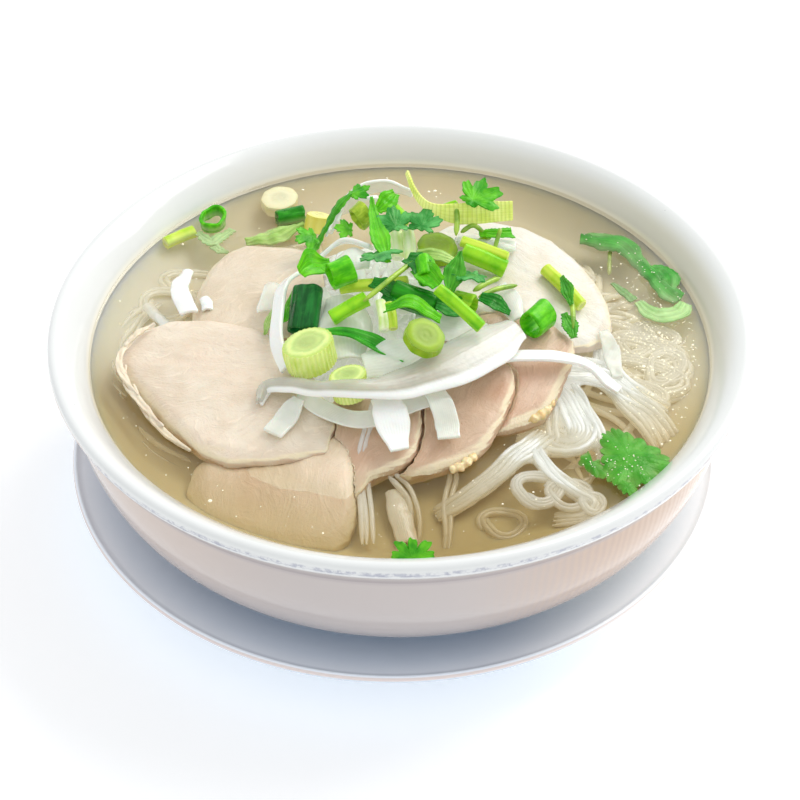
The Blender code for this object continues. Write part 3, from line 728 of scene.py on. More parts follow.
def make_noodles():
    """The heap as strands over a smaller core, with the bundles and curls that rise to the top."""
    finish = noodle_finish("noodle_mass", 1.0)
    glassy = noodle_finish("noodle_strand", 0.62)
    core = solid_copy("noodles", "noodle_core")
    for vert in core.data.vertices:
        place = vert.co / MM
        flat = Vector((place.x, place.y + 3)) * 0.9
        mound = LEVEL - 10 + 17 * math.exp(-((flat.length / 35) ** 4))
        height = min(place.z - 2.8, mound) if place.z > 30 else place.z * 0.9
        vert.co = Vector((flat.x, flat.y - 3, height)) * MM
    modify(core, "REMESH", mode="VOXEL", voxel_size=1.6 * MM)
    soften(core, 180.0)
    finish_piece(core, finish, "rice_noodle", "noodles")

    dice = random.Random(5)
    finish_piece(strands("noodle_strands", heap_routes(dice), 1.05), finish, "rice_noodle", "noodles")
    routes = []

    def lay(count, spread, *points, lift=0.5):
        routes.extend(bundle(points, count, spread, dice, lift))

    def curl(x, y, z, width, depth, turns, turn=0.0, sink=1.0):
        routes.append(loop((x, y, z), width, depth, turns, dice, turn, sink))

    lay(9, 7.5, (46, -17, 56.6), (56, -18, 55.6), (61, -21, 54.2), (65, -27, 53.2), (70, -33, 52),
        (74, -40, 49))
    lay(6, 6.5, (60, -4, 55), (59, -14, 54.8), (62, -21, 54), (68, -27, 52.7), (74, -30, 51))
    lay(10, 7.5, (40, -16, 53.6), (47, -25, 54.4), (49, -33, 54.4), (50, -40, 53.8), (46, -43.5, 53.1),
        (39, -40, 52), (32, -38, 50))
    lay(6, 6.0, (46, -26, 54.3), (44, -35, 53.4), (43, -42, 52.4), (38, -45, 51.6))
    lay(3, 3.0, (48, -24, 54.3), (51, -33, 54.5), (54, -41, 53.8), (55, -47, 52), (52, -54, 50))
    lay(6, 4.6, (40, -40, 53), (35, -46.5, 53.9), (31, -49.5, 53.9), (25, -56, 52.6), (15, -63.5, 50.8),
        (9, -66, 48.5), lift=0.3)
    lay(5, 3.2, (36, -44, 53.4), (38, -51, 54), (41, -57, 53.8), (46, -62, 53.3), (51, -66, 52.4),
        (47, -70, 51), (40, -69, 49.5))
    bed = strands("noodle_bed", [[point - Vector((0, 0, 1.0)) for point in route] for route in routes], 1.15)
    modify(bed, "REMESH", mode="VOXEL", voxel_size=0.9 * MM)
    modify(bed, "SMOOTH", factor=0.5, iterations=6)
    soften(bed, 180.0)
    finish_piece(bed, finish, "rice_noodle", "noodles")

    curl(36.5, -61.5, 53.4, 6.4, 5.8, 3.2)
    curl(44, -63, 53, 6.0, 5.0, 2.4)
    curl(50, -66.5, 53, 3.2, 3.4, 2.0)
    curl(27, -69, 48, 6.0, 5.0, 2.2)
    for x, y, width, depth in (
        (72, -2, 11, 6), (70, -14, 12, 7), (75, 4, 7, 4.5), (64, 2, 10, 9), (76, -10, 5, 8), (68, -22, 7, 5),
        (69, -8, 14, 10),
    ):
        for level in (51.6, 50.4, 49.2):
            curl(x, y, level, width, depth, 2.8, -25, 0.7)
    lay(3, 4.0, (-79, 22, 48.6), (-87, 12, 49), (-86, -3, 49), (-83, -13, 49), (-76, -20, 47))
    lay(3, 5.0, (-74, 24, 48.6), (-80, 12, 49), (-82, 2, 48.6), (-78, -6, 47.6))
    curl(-70, 22, 49, 8, 8, 2.2)
    curl(-64, 34, 48.6, 10, 6, 2.2)
    lay(2, 3.0, (-76, -28, 46), (-71, -36, 47.4), (-63, -43, 47), (-56, -47, 46))
    lay(2, 1.4, (14, -52, 51), (13, -60, 50.4), (12.5, -70, 49), (12, -80, 46.5))
    lay(2, 2.0, (-3, -56, 53.6), (1, -60, 52), (4, -66, 50.4), (4, -76, 46.5))
    lay(3, 2.0, (-2, -31, 65.5), (-5.5, -36, 63.8), (-8.4, -46.5, 60.2), (-9.6, -53, 57.6), (-9.8, -60, 53.4),
        (-9.2, -70, 52.6), (-8.6, -79, 50.6), lift=0.0)
    finish_piece(strands("noodle_bundles", routes, 0.78), glassy, "rice_noodle", "noodles")


# ---------------------------------------------------------------- chicken


def chicken_finish(name, light, deep, blush, grain):
    """Poached breast: fine wavering grain, paler at the rim, pink in places."""
    fixed = {"Subsurface Weight": 0.25, "Subsurface Scale": 0.003, "Coat Weight": 0.2, "Coat Roughness": 0.2}
    finish = Finish(name, {**fixed, "Subsurface Radius": (1.0, 0.6, 0.4)})
    drift = finish.node("TexNoise", {}, {"Vector": finish.place, "Scale": 1 / 16, "Detail": 1.0}, 1)
    drift = finish.node("VectorMath", {"operation": "SCALE"}, {0: drift, 3: 22.0})
    wavering = finish.node("VectorMath", {"operation": "ADD"}, {0: finish.place, 1: drift})
    cloud = finish.noise(13.0, 3.0, 0.6)
    tone = finish.mix(rgb(*light), rgb(*deep), cloud.ramp(0.35, 0.7))
    fibre = finish.noise(1.0, 4.0, 0.65, finish.stretched(grain, (4.5, 1.0, 1.6), wavering), 0.6)
    tone = finish.mix(tone, tinted(deep, 0.94), fibre.ramp(0.52, 0.75) * 0.6)
    streak = finish.noise(1.0, 2.0, 0.5, finish.stretched(grain + 12, (9.0, 1.0, 2.0), wavering), 0.8)
    tone = finish.mix(tone, tinted(light, 1.05, lift=3), streak.ramp(0.56, 0.70) * 0.45)
    pink = finish.noise(17.0, 2.0, 0.5, finish.stretched(grain, (1.6, 1.0, 1.0)))
    tone = finish.mix(tone, tinted(deep, 1.0, 0.90, 0.86), pink.ramp(0.5, 0.75) * blush)
    pores = finish.noise(1.3, 3.0, 0.7).ramp(0.70, 0.76)
    tone = finish.mix(tone, tinted(deep, 0.86, 0.72, 0.64), pores * 0.55)
    edge = finish.node("Attribute", {"attribute_name": "edge"}, {}, "Fac")
    rim = edge.ramp(0.12, 0.4) * edge.ramp(0.9, 0.6)
    tone = finish.mix(tone, rgb(246, 231, 198), rim * 0.9)
    tone = finish.mix(tone, rgb(222, 182, 150), edge.ramp(0.72, 1.0) * (0.35 + 0.4 * blush))
    finish.feed(Base_Color=finish.under_broth(tone), Roughness=cloud * 0.2 + 0.32)
    finish.bump(fibre * 0.5 + finish.noise(0.8, 3.0, 0.7) * 0.5 + streak * 0.6, 0.4, 0.8)
    return finish


def mark_edges(piece):
    """Store how far each point's surface turns from flat: 0 on top, 1 on the side."""
    normals = np.zeros(len(piece.data.vertices) * 3, np.float32)
    piece.data.vertices.foreach_get("normal", normals)
    tilt = np.clip((0.97 - normals.reshape(-1, 3)[:, 2]) / 0.8, 0.0, 1.0)
    edge = piece.data.attributes.new("edge", "FLOAT", "POINT")
    edge.data.foreach_set("value", tilt.astype(np.float32))


def make_slice(number, light, deep, blush, grain, grow):
    """A slice of breast from its solid: remeshed fine, moved out by grow, uneven and torn at its rim."""
    piece = solid_copy(f"chicken_{number}", f"chicken_slice_{number}")
    modify(piece, "REMESH", mode="VOXEL", voxel_size=0.6 * MM)
    modify(piece, "SMOOTH", factor=0.5, iterations=10)
    turn = math.radians(grain)
    along, side = Vector((math.cos(turn), math.sin(turn), 0)), Vector((-math.sin(turn), math.cos(turn), 0))
    mesh = piece.data
    normals = [vert.normal.copy() for vert in mesh.vertices]
    shift = Vector((number * 7.3, number * 3.1, 0))
    for vert, normal in zip(mesh.vertices, normals):
        place = vert.co / MM + shift
        stretched = Vector((place.dot(along) / 9.0, place.dot(side) / 2.4, place.z / 4.0))
        dent = 0.2 * noise.noise(stretched) + 0.4 * noise.noise(place / 14.0)
        steep = 1 - min(1.0, abs(normal.z) / 0.8)
        dent += steep * (0.5 * noise.noise(place / 5.0) + 0.12 * noise.noise(place / 1.6)) + grow
        dent += steep * 0.22 * math.sin(place.z * 4.8 + 3.0 * noise.noise(place / 7.0))
        vert.co += normal * dent * MM
    mark_edges(piece)
    soften(piece, 180.0)
    finish = chicken_finish(f"breast_{number}", light, deep, blush, grain)
    finish_piece(piece, finish, "chicken", f"chicken_{number}")


def make_chicken():
    """Seven slices; each has its own colour, its own grain and its own share of pink."""
    for number, (light, deep, blush, grain, grow) in enumerate((
        ((226, 221, 209), (218, 208, 190), 0.05, -30, -0.1),
        ((219, 188, 161), (207, 172, 143), 0.55, 60, -0.1),
        ((211, 182, 154), (200, 168, 138), 0.60, 50, -0.1),
        ((214, 188, 160), (203, 174, 145), 0.65, 40, -0.1),
        ((228, 212, 188), (217, 199, 172), 0.25, 20, -0.1),
        ((238, 217, 190), (227, 203, 171), 0.25, 80, 0.5),
        ((233, 219, 198), (223, 205, 181), 0.20, -15, 0.5),
    ), 1):
        make_slice(number, light, deep, blush, grain, grow)


# ---------------------------------------------------------------- ribbons: onion and leaves


def ribbon(name, path, widths, thickness, node=None, tilt=0.0, crown=0.0, fold=0.0, ruffle=0.25, ragged=0.0):
    """A strip along a route, tilted, crowned or folded down its middle, and a little uneven.

    A strip that stands for a solid takes the heights of that solid; any other has its own.
    """
    count = 12 * (len(path) - 1) + 1
    middle = smooth_path([(*point, 0.0)[:3] for point in path], count)
    if node:
        tree = tree_of(node)
        known = {}
        for step, place in enumerate(middle):
            top, bottom = hit_height(tree, place.x, place.y), hit_height(tree, place.x, place.y, -200.0)
            if top is not None:
                known[step] = (top + bottom) / 2 - crown
        heights = np.interp(range(count), list(known), list(known.values()))
        for step in range(count):
            middle[step].z = heights[max(0, step - 6) : step + 7].mean()
    lean = math.radians(tilt)
    seed = sum(map(ord, name)) * 0.37

    def place(u, v):
        step = round(u * (count - 1))
        ahead = middle[min(step + 1, count - 1)] - middle[max(step - 1, 0)]
        flat = Vector((-ahead.y, ahead.x, 0)).normalized()
        side = flat * math.cos(lean) + Vector((0, 0, math.sin(lean)))
        width = at(widths, u) * (1 + 0.10 * waver(u * 5, seed, 1.0))
        out = 2 * v - 1
        width += ragged * abs(out) * (math.sin(u * 60 + seed) + waver(u * 17, seed, out))
        rise = crown * (1 - out**2) + fold * abs(out) * width / 8
        rise += ruffle * waver(u * 7, v * 2, seed)
        up = side.cross(ahead).normalized() if fold else Vector((0, 0, 1))
        up = -up if up.z < 0 else up
        return middle[step] + side * (v - 0.5) * width + up * rise

    return thicken(shaped_sheet(name, count - 1, 11, place), thickness)


def onion_finish(name, band=0.0, clear=0.6, flesh=(226, 229, 217), tip=1.5):
    """White onion: glassy flesh with fine veins along it, and a whiter cut edge.

    band is the share of the width that is cut edge, on the near side; clear is how solid the flesh looks;
    beyond tip, a share of the length, it is paler.
    """
    fixed = {"Subsurface Weight": 0.2, "Subsurface Scale": 0.002, "Coat Weight": 0.5, "Coat Roughness": 0.06}
    finish = Finish(name, fixed)
    along, across = finish.along_across()
    veins = (across * 75.0 + finish.noise(8.0) * 3.0).math("SINE") * 0.5 + 0.5
    cloud = finish.noise(7.0, 3.0)
    pale = tinted(flesh, 1.05)
    glassy = finish.mix(rgb(*flesh), pale, cloud.ramp(0.3, 0.7))
    glassy = finish.mix(glassy, tinted(flesh, 0.95), veins * 0.2)
    rim = (across - 0.5).math("ABSOLUTE").ramp(0.38, 0.5)
    white = rim * 0.5
    if band:
        white = white.math("MAXIMUM", across.ramp(band + 0.1, band))
    white = white.math("MAXIMUM", along.ramp(tip - 0.15, tip + 0.05) * 0.4)
    # painted light: the onion glows a little
    finish.feed_with_painted_glow(finish.mix(glassy, rgb(236, 237, 232), white), 0.08, cloud * 0.15 + 0.14)
    finish.feed(Alpha=white * (1 - clear) + cloud * 0.1 + (clear - 0.05))
    finish.bump(veins * 0.2 + finish.noise(1.5, 2.0), 0.2, 0.7)
    return finish


def make_trimmings():
    """Torn fibres at the left edge of the front slice, and yellow fat on the lower edges at the right."""
    finish = chicken_finish("breast_fibres", (238, 222, 196), (226, 206, 180), 0.1, 90)
    for number, (path, widths) in enumerate((
        ([(-70, -3, 61.6), (-74.4, -7, 61.2), (-77.6, -12, 60.6)], (0.5, 1.8, 1)),
        ([(-75.5, -8.5, 60.6), (-78.6, -15, 60), (-77.4, -22, 59), (-72, -30, 58)], (0.8, 1.8, 1.8, 0.5)),
        ([(-77, -18, 58.6), (-75.7, -25, 57.8), (-70.4, -33, 57), (-64, -41, 56.4)], (0.5, 1.9, 1.9, 0.5)),
        ([(-74, -25, 57.4), (-69.8, -34, 56.4), (-63.4, -42.4, 55.6), (-56, -49, 55)], (0.5, 1.9, 1.9, 0.5)),
    )):
        strip = ribbon(f"torn_fibre_{number}", path, widths, 0.8, ruffle=0.6, ragged=0.15)
        finish_piece(strip, finish, "chicken")
    finish = Finish("chicken_fat", {"Roughness": 0.25, "Subsurface Weight": 0.3, "Subsurface Scale": 0.002})
    cloud = finish.noise(3.0, 3.0)
    finish.feed(Base_Color=finish.mix(rgb(224, 190, 128), rgb(240, 222, 176), cloud.ramp(0.3, 0.7)))
    finish.bump(cloud, 0.3)
    for number, lumps in enumerate((
        ((34.6, -37.6, 55.6, 1.2), (36.6, -37.2, 56, 1.4), (38.4, -36, 56.4, 1.5), (40.2, -34.4, 56.7, 1.3),
         (41.6, -32.4, 57, 1.1), (42.6, -30.2, 57, 0.9)),
        ((14, -55.8, 54.6, 1.1), (15.8, -55.2, 55, 1.4), (17.6, -54, 55.3, 1.4), (19.4, -52.2, 55.6, 1.2)),
    )):
        deselect()
        bpy.ops.mesh.primitive_ico_sphere_add(subdivisions=4, radius=MM)
        places = [Matrix.Translation(Vector(lump[:3]) * MM) @ Matrix.Scale(lump[3], 4) for lump in lumps]
        piece = scattered(f"fat_trim_{number}", bpy.context.object, places)
        modify(piece, "REMESH", mode="VOXEL", voxel_size=0.35 * MM)
        for vert in piece.data.vertices:
            vert.co += vert.normal * (0.5 * noise.noise(vert.co / MM / 1.1) * MM)
        soften(piece, 180.0)
        finish_piece(piece, finish, "chicken")


def make_onions():
    """Onion strips, petals and rings, over the chicken and in the broth."""
    glassy = onion_finish("onion_flesh", clear=0.7)
    faint = onion_finish("onion_clear", clear=0.45)
    solid = onion_finish("onion_cut", band=0.9, clear=0.85)
    petal = onion_finish("onion_petal", 0.14, 0.6, (194, 192, 176), 0.8)
    for name, path, widths, thickness, tilt, crown, finish in (
        ("piece_left", [(-64, 29), (-65.4, 21), (-64.4, 13), (-61, 4)], (3, 5, 5.5, 5), 1.4, 0, 1, solid),
        ("petal_left", [(-37, 11), (-37, -2)], (5, 8), 1.0, 0, 1, faint),
        ("petal_middle", [(-16, -1), (-15, -13), (-14, -25)], (10, 15, 9), 1.0, 0, 1.5, glassy),
        ("petal_round", [(-15, 20), (-15, 6)], (7, 11), 1.1, 0, 1.5, solid),
        ("petal_back", [(17, 25), (26, 24), (34, 22)], (4, 6, 5), 1.0, 0, 0, glassy),
        ("crescent_top", [(-20, 34), (-17, 45), (-7, 50)], (6, 10, 6), 1.6, -65, 0, solid),
        ("strip_side", [(58, -5), (60, -12), (61, -20)], (3, 5, 3), 1.1, 0, 0, faint),
        ("band_low", [(-27, -36), (-22, -41), (-13, -46), (-5, -46), (3, -42), (9, -40)],
         (4, 5, 5, 5, 5, 4), 1.0, 25, 0, glassy),
        ("strip_1", [(-27, -39), (-30, -43), (-34, -49)], (4, 6.5, 6), 1.1, 0, 0, glassy),
        ("strip_2", [(-4, -42), (-2, -49), (0, -56)], (8, 10, 5), 1.2, 0, 0, solid),
        ("strip_3", [(9, -39), (12, -45), (13, -51)], (6, 7, 6), 1.1, 0, 0, glassy),
        ("arc_right", [(18, -30), (30, -25), (43, -23), (54, -22), (61, -26)],
         (6, 4, 4, 4, 3), 1.2, 0, 0, solid),
        ("ring_left",
         [(-8, 12), (-16, 16), (-22, 14), (-29, 8), (-33, 0), (-34, -10), (-34, -19), (-31, -28)],
         (4, 4, 4, 4.5, 4.5, 4.5, 4.5, 4), 1.3, 45, 0, solid),
    ):
        node = "onion_" + name
        piece = ribbon("loose_" + node, path, widths, thickness, node, tilt, crown)
        finish_piece(piece, finish, "onion", node)
    front = [(-38, -38), (-36, -33), (-29, -36), (-20, -42.5), (-9, -44), (3, -39.5), (14, -33), (24, -25),
             (32, -17)]
    widths = (1.5, 4, 5, 5, 6, 11, 15, 14, 8)
    piece = ribbon("long_onion_petal", front, widths, 1.1, "onion_petal_front", 10, 2.2)
    finish_piece(piece, petal, "onion", "onion_petal_front")
    for number, (path, widths, tilt, finish) in enumerate((
        ([(-57.5, 12, 58.6), (-56.5, 9.5, 59), (-56, 6.5, 58.6)], (2.8, 3.2, 3), 0, solid),
        ([(-18.4, 8.5, 73.6), (-13.4, 9, 75.4), (-8.4, 8.4, 74.6)], (5, 9, 5), 10, glassy),
        ([(28, 3, 70), (31, -4, 70), (33, -11, 69)], (5, 7, 4), 20, glassy),
        ([(-24, 6, 66.5), (-22, -4, 67.5), (-18, -14, 68)], (6, 9, 6), 10, glassy),
        ([(-10, -28, 66.5), (-2, -26, 68), (6, -22, 69)], (8, 12, 8), 15, glassy),
        ([(4, -12, 69.5), (14, -14, 69.5), (24, -16, 68.5)], (7, 11, 7), 10, glassy),
        ([(-2, 6, 68), (6, 4, 68.5), (14, 6, 69)], (7, 9, 6), 0, glassy),
        ([(16, 22.8, 72), (25, 21, 72.4), (34, 19.8, 71)], (1.6, 2, 2), 0, faint),
        ([(-2, -60, 50.6), (0, -68, 49.8), (2, -77, 48.4)], (4, 6.5, 5.5), 0, solid),
        ([(-76, 18, 51.5), (-72, 11, 53), (-68, 5, 54)], (3, 3.5, 3), 0, solid),
        ([(-21.5, 30, 69), (-18.5, 38.5, 72.6), (-12, 45, 74.6), (-3.5, 46.5, 75), (3.6, 44, 74)],
         (3, 7, 8, 7, 4), -62, solid),
    )):
        piece = ribbon(f"onion_sliver_{number}", path, widths, 0.9, tilt=tilt, crown=0.8)
        finish_piece(piece, finish, "onion")


# ---------------------------------------------------------------- greens


MOIST_SKIN = {
    "Coat Weight": 0.08, "Coat Roughness": 0.12, "Specular IOR Level": 0.3,
    "Specular Tint": (0.8, 1.0, 0.45, 1.0), "Subsurface Weight": 0.1, "Subsurface Scale": 0.001,
}


def green_finish(name, dark, light, ribs=0, combs=0, clear=1.0, glow=0.15):
    """Fresh green leaf or stem: two tones in streaks along it, and ribs along or across where it has them."""
    finish = Finish(name, {**MOIST_SKIN, "Coat Weight": 0.06, "Coat Roughness": 0.1})
    along, across = finish.along_across()
    place = finish.node("CombineXYZ", {}, {0: along * 2.5, 1: across * 26.0, 2: finish.z * 0.05})
    streak = finish.noise(1.0, 3.0, 0.6, place)
    cloud = finish.noise(6.0, 3.0)
    tone = finish.mix(rgb(*dark), rgb(*light), (streak * 0.55 + cloud * 0.55).ramp(0.35, 0.75))
    height = streak * 0.5 + finish.noise(1.1, 2.0) * 0.3
    for count, way in ((ribs, across), (combs, along)):
        if count:
            rib = (way * (math.tau * count) + cloud * 1.5).math("SINE") * 0.5 + 0.5
            tone = finish.mix(tone, tinted(dark, 0.72), rib.ramp(0.55, 1.0) * 0.28)
            height = height + rib * 0.9
    if clear < 1.0:
        finish.feed(Alpha=cloud * 0.1 + (clear - 0.05))
    # painted light: the leaf glows by glow, standing for light through it
    finish.feed_with_painted_glow(tone, glow, cloud * 0.15 + 0.2)
    finish.bump(height, 0.28, 0.7)
    return finish


FACE_SHARE = 0.2  # share of a stalk's UV length that each cut face takes


def stem_finish(name, skin_dark, skin_light, pith, ribs=12):
    """A cut stalk: ribbed skin, and ringed, paler pith on its two faces."""
    fixed = {"Coat Roughness": 0.08, "Specular Tint": (0.9, 1.0, 0.55, 1.0)}
    finish = Finish(name, {**MOIST_SKIN, **fixed, "Subsurface Weight": 0.15, "Subsurface Scale": 0.0015})
    along, across = finish.along_across()
    reach = along.math("MINIMUM", 1.0 - along) * (1 / FACE_SHARE)
    cloud = finish.noise(4.0, 3.0)
    rib = (across * (math.tau * ribs)).math("SINE") * 0.5 + 0.5
    skin = finish.mix(rgb(*skin_light), rgb(*skin_dark), rib * 0.4 + cloud.ramp(0.4, 0.7) * 0.5)
    rings = (reach * 15.0 + cloud * 5.0).math("SINE") * 0.5 + 0.5
    face = finish.mix(rgb(*pith), rgb(*skin_light), rings * 0.7 * reach.ramp(0.0, 0.9))
    face = finish.mix(face, tinted(pith, 0.85), reach.ramp(0.6, 0.3) * cloud)
    face = finish.mix(face, rgb(*skin_dark), reach.ramp(0.86, 0.98) * 0.5)
    side = reach.ramp(0.985, 1.0)
    # painted light: the stalk glows a little
    finish.feed_with_painted_glow(finish.mix(face, skin, side), 0.12, cloud * 0.15 + 0.2)
    finish.bump(rib * side * 0.8 + rings * reach.ramp(1.0, 0.95) * 0.3 + cloud * 0.5, 0.25, 0.7)
    return finish


def set_in_place(piece, node, start, end):
    """Stand a finished piece, modelled along Z, along its axis; its solid gives its centre, if it has one."""
    low, high = box_mm(node) if node else (Vector(start), Vector(end))
    turn = (Vector(end) - Vector(start)).to_track_quat("Z", "Y").to_matrix().to_4x4()
    piece.data.transform(Matrix.Translation((low + high) / 2 * MM) @ turn)
    return piece


def stalk(name, start, end, radius, ribs, node=None):
    """A cut stem or bulb slice: a lightly ribbed side and slightly uneven cut faces."""
    length = (Vector(end) - Vector(start)).length
    seed = sum(map(ord, name)) * 0.61
    rib = 0.025 if ribs > 12 else 0.02

    def place(u, v):
        angle = v * math.tau
        face = min(u, 1 - u) / FACE_SHARE
        on_face = face < 0.999
        if on_face:
            height = length / 2 + 0.25 * waver(seed, face * 4, u) - 0.15 * (face > 0.9)
            height = math.copysign(height, u - 0.5)
        else:
            height = (u - 0.5) / (1 - 2 * FACE_SHARE) * (length - 0.5)
        ripple = 0.0 if on_face else rib * math.sin(ribs * angle)
        swell = radius * (1 + ripple + 0.05 * math.sin(2 * angle + seed))
        swell *= 1 + 0.06 * waver(height * 0.25, seed, 0)
        reach = swell * (face if on_face else 1.0)
        bow = 0.3 * (1 - (2 * height / length) ** 2)
        return Vector((reach * math.cos(angle) + bow, reach * math.sin(angle), height))

    piece = shaped_sheet(name, 30, 96 if ribs > 16 else 48, place)
    weld(piece)
    soften(piece, 40.0)
    return set_in_place(piece, node, start, end)


def barrel(name, start, end, radius, wall, squeeze=0.1, flare=0.0, node=None):
    """A hollow ring or length of leaf tube: an open barrel with a wall, a little squeezed."""
    length = (Vector(end) - Vector(start)).length
    seed = sum(map(ord, name)) * 0.43

    def place(u, v):
        angle = v * math.tau
        around = Vector((math.cos(angle), math.sin(angle), 0))
        oval = squeeze * math.cos(2 * angle + seed) + 0.03 * math.sin(3 * angle + seed)
        swell = (radius - wall / 2) * (1 + oval)
        swell += flare * (u - 0.5) + 0.16 * radius * noise.noise(around + Vector((0, 0, seed + u)))
        ragged = 0.5 * noise.noise(around * 1.5 + Vector((0, 0, seed)))
        return around * swell + Vector((0, 0, (u - 0.5) * length + ragged))

    piece = shaped_sheet(name, 10, 48, place)
    weld(piece)
    return set_in_place(thicken(piece, wall), node, start, end)


def thin_leaf(name, along, across, place):
    """A leaf blade of one thickness, from a sheet whose seam and middle are closed."""
    piece = shaped_sheet(name, along, across, place)
    weld(piece)
    return thicken(piece, 0.4, rounded=False)


def herb_leaf(name, centre, lobes, heading=0.0, tilt=0.0, roll=0.0, teeth=11, seed=1.0):
    """A coriander leaf: toothed lobes (degrees, length, half width) about one centre, in millimetres."""
    size = max(length for _, length, _ in lobes)
    web = 0.24 * size  # the least reach, between the lobes

    def reach_at(angle):
        reach = web
        for direction, length, half in lobes:
            off = (angle - direction + 180) % 360 - 180
            if abs(off) < half * 1.6:
                reach = max(reach, length * max(0.0, math.cos(off / half / 1.6 * math.pi / 2)) ** 0.55)
        bite = 0.06 * math.sin(math.radians(angle) * teeth * 2 + seed)
        bite += 0.10 * waver(math.radians(angle) * 2.5, seed, 0)
        return reach * (1 + bite * (reach > web * 1.05))

    def place(u, v):
        turn = u * math.tau
        reach = v**0.85 * reach_at(u * 360)
        wave = 0.10 * size * waver(math.cos(turn) * v * 1.5, math.sin(turn) * v * 1.5, seed)
        sag = -0.12 * size * (reach / size) ** 2
        crease = 0.05 * size * abs(math.sin(turn * len(lobes) / 2)) * v
        return Vector((reach * math.cos(turn), reach * math.sin(turn), sag + wave + crease))

    piece = thin_leaf(name, 150, 10, place)
    turn = Euler((math.radians(tilt), math.radians(roll), math.radians(heading))).to_matrix().to_4x4()
    piece.data.transform(Matrix.Translation(Vector(centre) * MM) @ turn)
    return piece


def outlined_leaf(name, outline, height, teeth, bite):
    """A floating leaf drawn by its outline: toothed rim, puckered face, lying in the broth."""
    rim = smooth_path([*outline, outline[0]], 161)
    middle = sum(rim[:-1], Vector()) / 160

    def place(u, v):
        edge = rim[round(u * 160)]
        out = (edge - middle).normalized()
        edge = edge + out * bite * (abs(math.sin(u * math.pi * teeth)) - 0.5) * v
        flat = middle + (edge - middle) * v**0.85
        pucker = waver(flat.x * 0.35, flat.y * 0.35, 1.0) * 0.7
        pucker += 0.25 * math.sin(u * math.tau * 7 + 1.0) * v
        return Vector((flat.x, flat.y, height + 0.72 * (1 - v**2) + pucker * (0.4 + 0.6 * v)))

    return thin_leaf(name, 160, 12, place)


def herb_finish(name, dark, light):
    """Coriander: fresh green, paler veins that fan out from the stalk, a soft sheen."""
    finish = Finish(name, MOIST_SKIN)
    along, across = finish.along_across()
    fan = (along * (math.tau * 11) + finish.noise(3.0) * 1.5).math("SINE").math("ABSOLUTE").ramp(0.2, 0.0)
    cloud = finish.noise(4.5, 3.0)
    tone = finish.mix(rgb(*dark), rgb(*light), cloud.ramp(0.3, 0.7))
    tone = finish.mix(tone, tinted(light, 1.2, lift=20), fan * across.ramp(1.0, 0.2) * 0.4)
    tone = finish.mix(tone, rgb(*dark), across.ramp(0.86, 1.0) * 0.4)
    # painted light: the leaf glows a little
    finish.feed_with_painted_glow(tone, 0.15, cloud * 0.2 + 0.22)
    finish.bump(fan * -0.6 + finish.noise(0.9, 3.0), 0.22, 0.8)
    return finish


def make_stalks():
    """Solid cut stems, bulb slices and thick spring onion slices."""
    pale = stem_finish("pale_stalk", (184, 210, 84), (224, 236, 150), (178, 200, 118), 30)
    white = stem_finish("white_stalk", (196, 224, 120), (242, 248, 210), (244, 248, 222), 6)
    bright = stem_finish("bright_stalk", (84, 176, 10), (156, 216, 40), (184, 218, 90), 5)
    lime = stem_finish("lime_stalk", (156, 200, 20), (206, 226, 84), (214, 226, 130), 5)
    bulb = stem_finish("bulb_flesh", (214, 208, 142), (228, 224, 176), (226, 223, 184), 8)
    olive = stem_finish("bulb_green", (112, 156, 10), (148, 180, 40), (138, 164, 66), 8)
    yellow = stem_finish("bulb_skin", (206, 198, 70), (228, 222, 120), (230, 226, 150), 8)
    for node, start, end, radius, ribs, finish, slot in (
        ("scallion_1", (-23.8, -27.6, 66), (-25.1, -26.9, 73.2), 6.8, 30, pale, "pale_green"),
        ("scallion_2", (-13, -38.5, 62), (-14, -37.6, 69), 4.8, 24, pale, "pale_green"),
        ("slice_1", (6.0, -30.2, 72), (6.9, -31.2, 75.2), 5.3, 8, olive, "yellow_green"),
        ("slice_2", (10.7, 18.4, 80), (10.8, 18.2, 83), 6.0, 8, olive, "yellow_green"),
        ("stem_1", (-19, -14, 74), (-9, -10, 78), 2.2, 5, bright, "green"),
        ("stem_2", (-17, -1.4, 76), (-4.5, -1.2, 77), 1.9, 5, lime, "pale_green"),
        ("stem_3", (-1.3, 25, 86), (-0.7, 17, 82), 1.8, 5, white, "pale_green"),
        ("stem_4", (2.3, 24, 87), (3, 13, 83), 1.9, 5, white, "pale_green"),
        ("stem_5", (18, 14, 80), (30.5, 10.5, 76), 2.7, 5, bright, "green"),
        ("stem_6", (10, -17, 82), (22, -24, 74), 1.8, 5, bright, "green"),
        ("stem_7", (42, 13.5, 70), (52, 1, 66), 1.9, 3, lime, "yellow_green"),
        ("stem_8", (-4, 60, 84), (1.5, 52, 82), 2.3, 5, bright, "green"),
        ("stem_9", (-73, 45.5, 57), (-64.5, 52, 57), 1.9, 5, lime, "green"),
        ("bulb_slice", (-38.6, 69.5, 50), (-38.6, 69.5, 54), 6.0, 8, bulb, "pale_green"),
        ("bulb_chunk", (-26, 51, 58), (-25, 53, 63), 4.1, 8, yellow, "yellow_green"),
    ):
        finish_piece(stalk("cut_" + node, start, end, radius, ribs, node), finish, slot, node)
    for number, (start, end, radius, finish, slot) in enumerate((
        ((-5.5, -9.6, 75), (-4.4, -18.5, 71.5), 1.4, white, "pale_green"),
        ((-3.0, -10.5, 75), (-1.9, -17.8, 71.5), 1.3, lime, "pale_green"),
        ((17.6, 16.6, 76.5), (31.1, 12.6, 73.5), 1.7, lime, "green"),
        ((-4.4, -1.2, 74.2), (2.2, -0.9, 75.5), 1.5, lime, "pale_green"),
        ((10.8, 27.7, 79), (16.7, 30.3, 80), 1.2, bright, "green"),
        ((22, 19, 72), (26, 24, 73), 1.2, olive, "yellow_green"),
    )):
        finish_piece(stalk(f"short_stem_{number}", start, end, radius, 5), finish, slot)


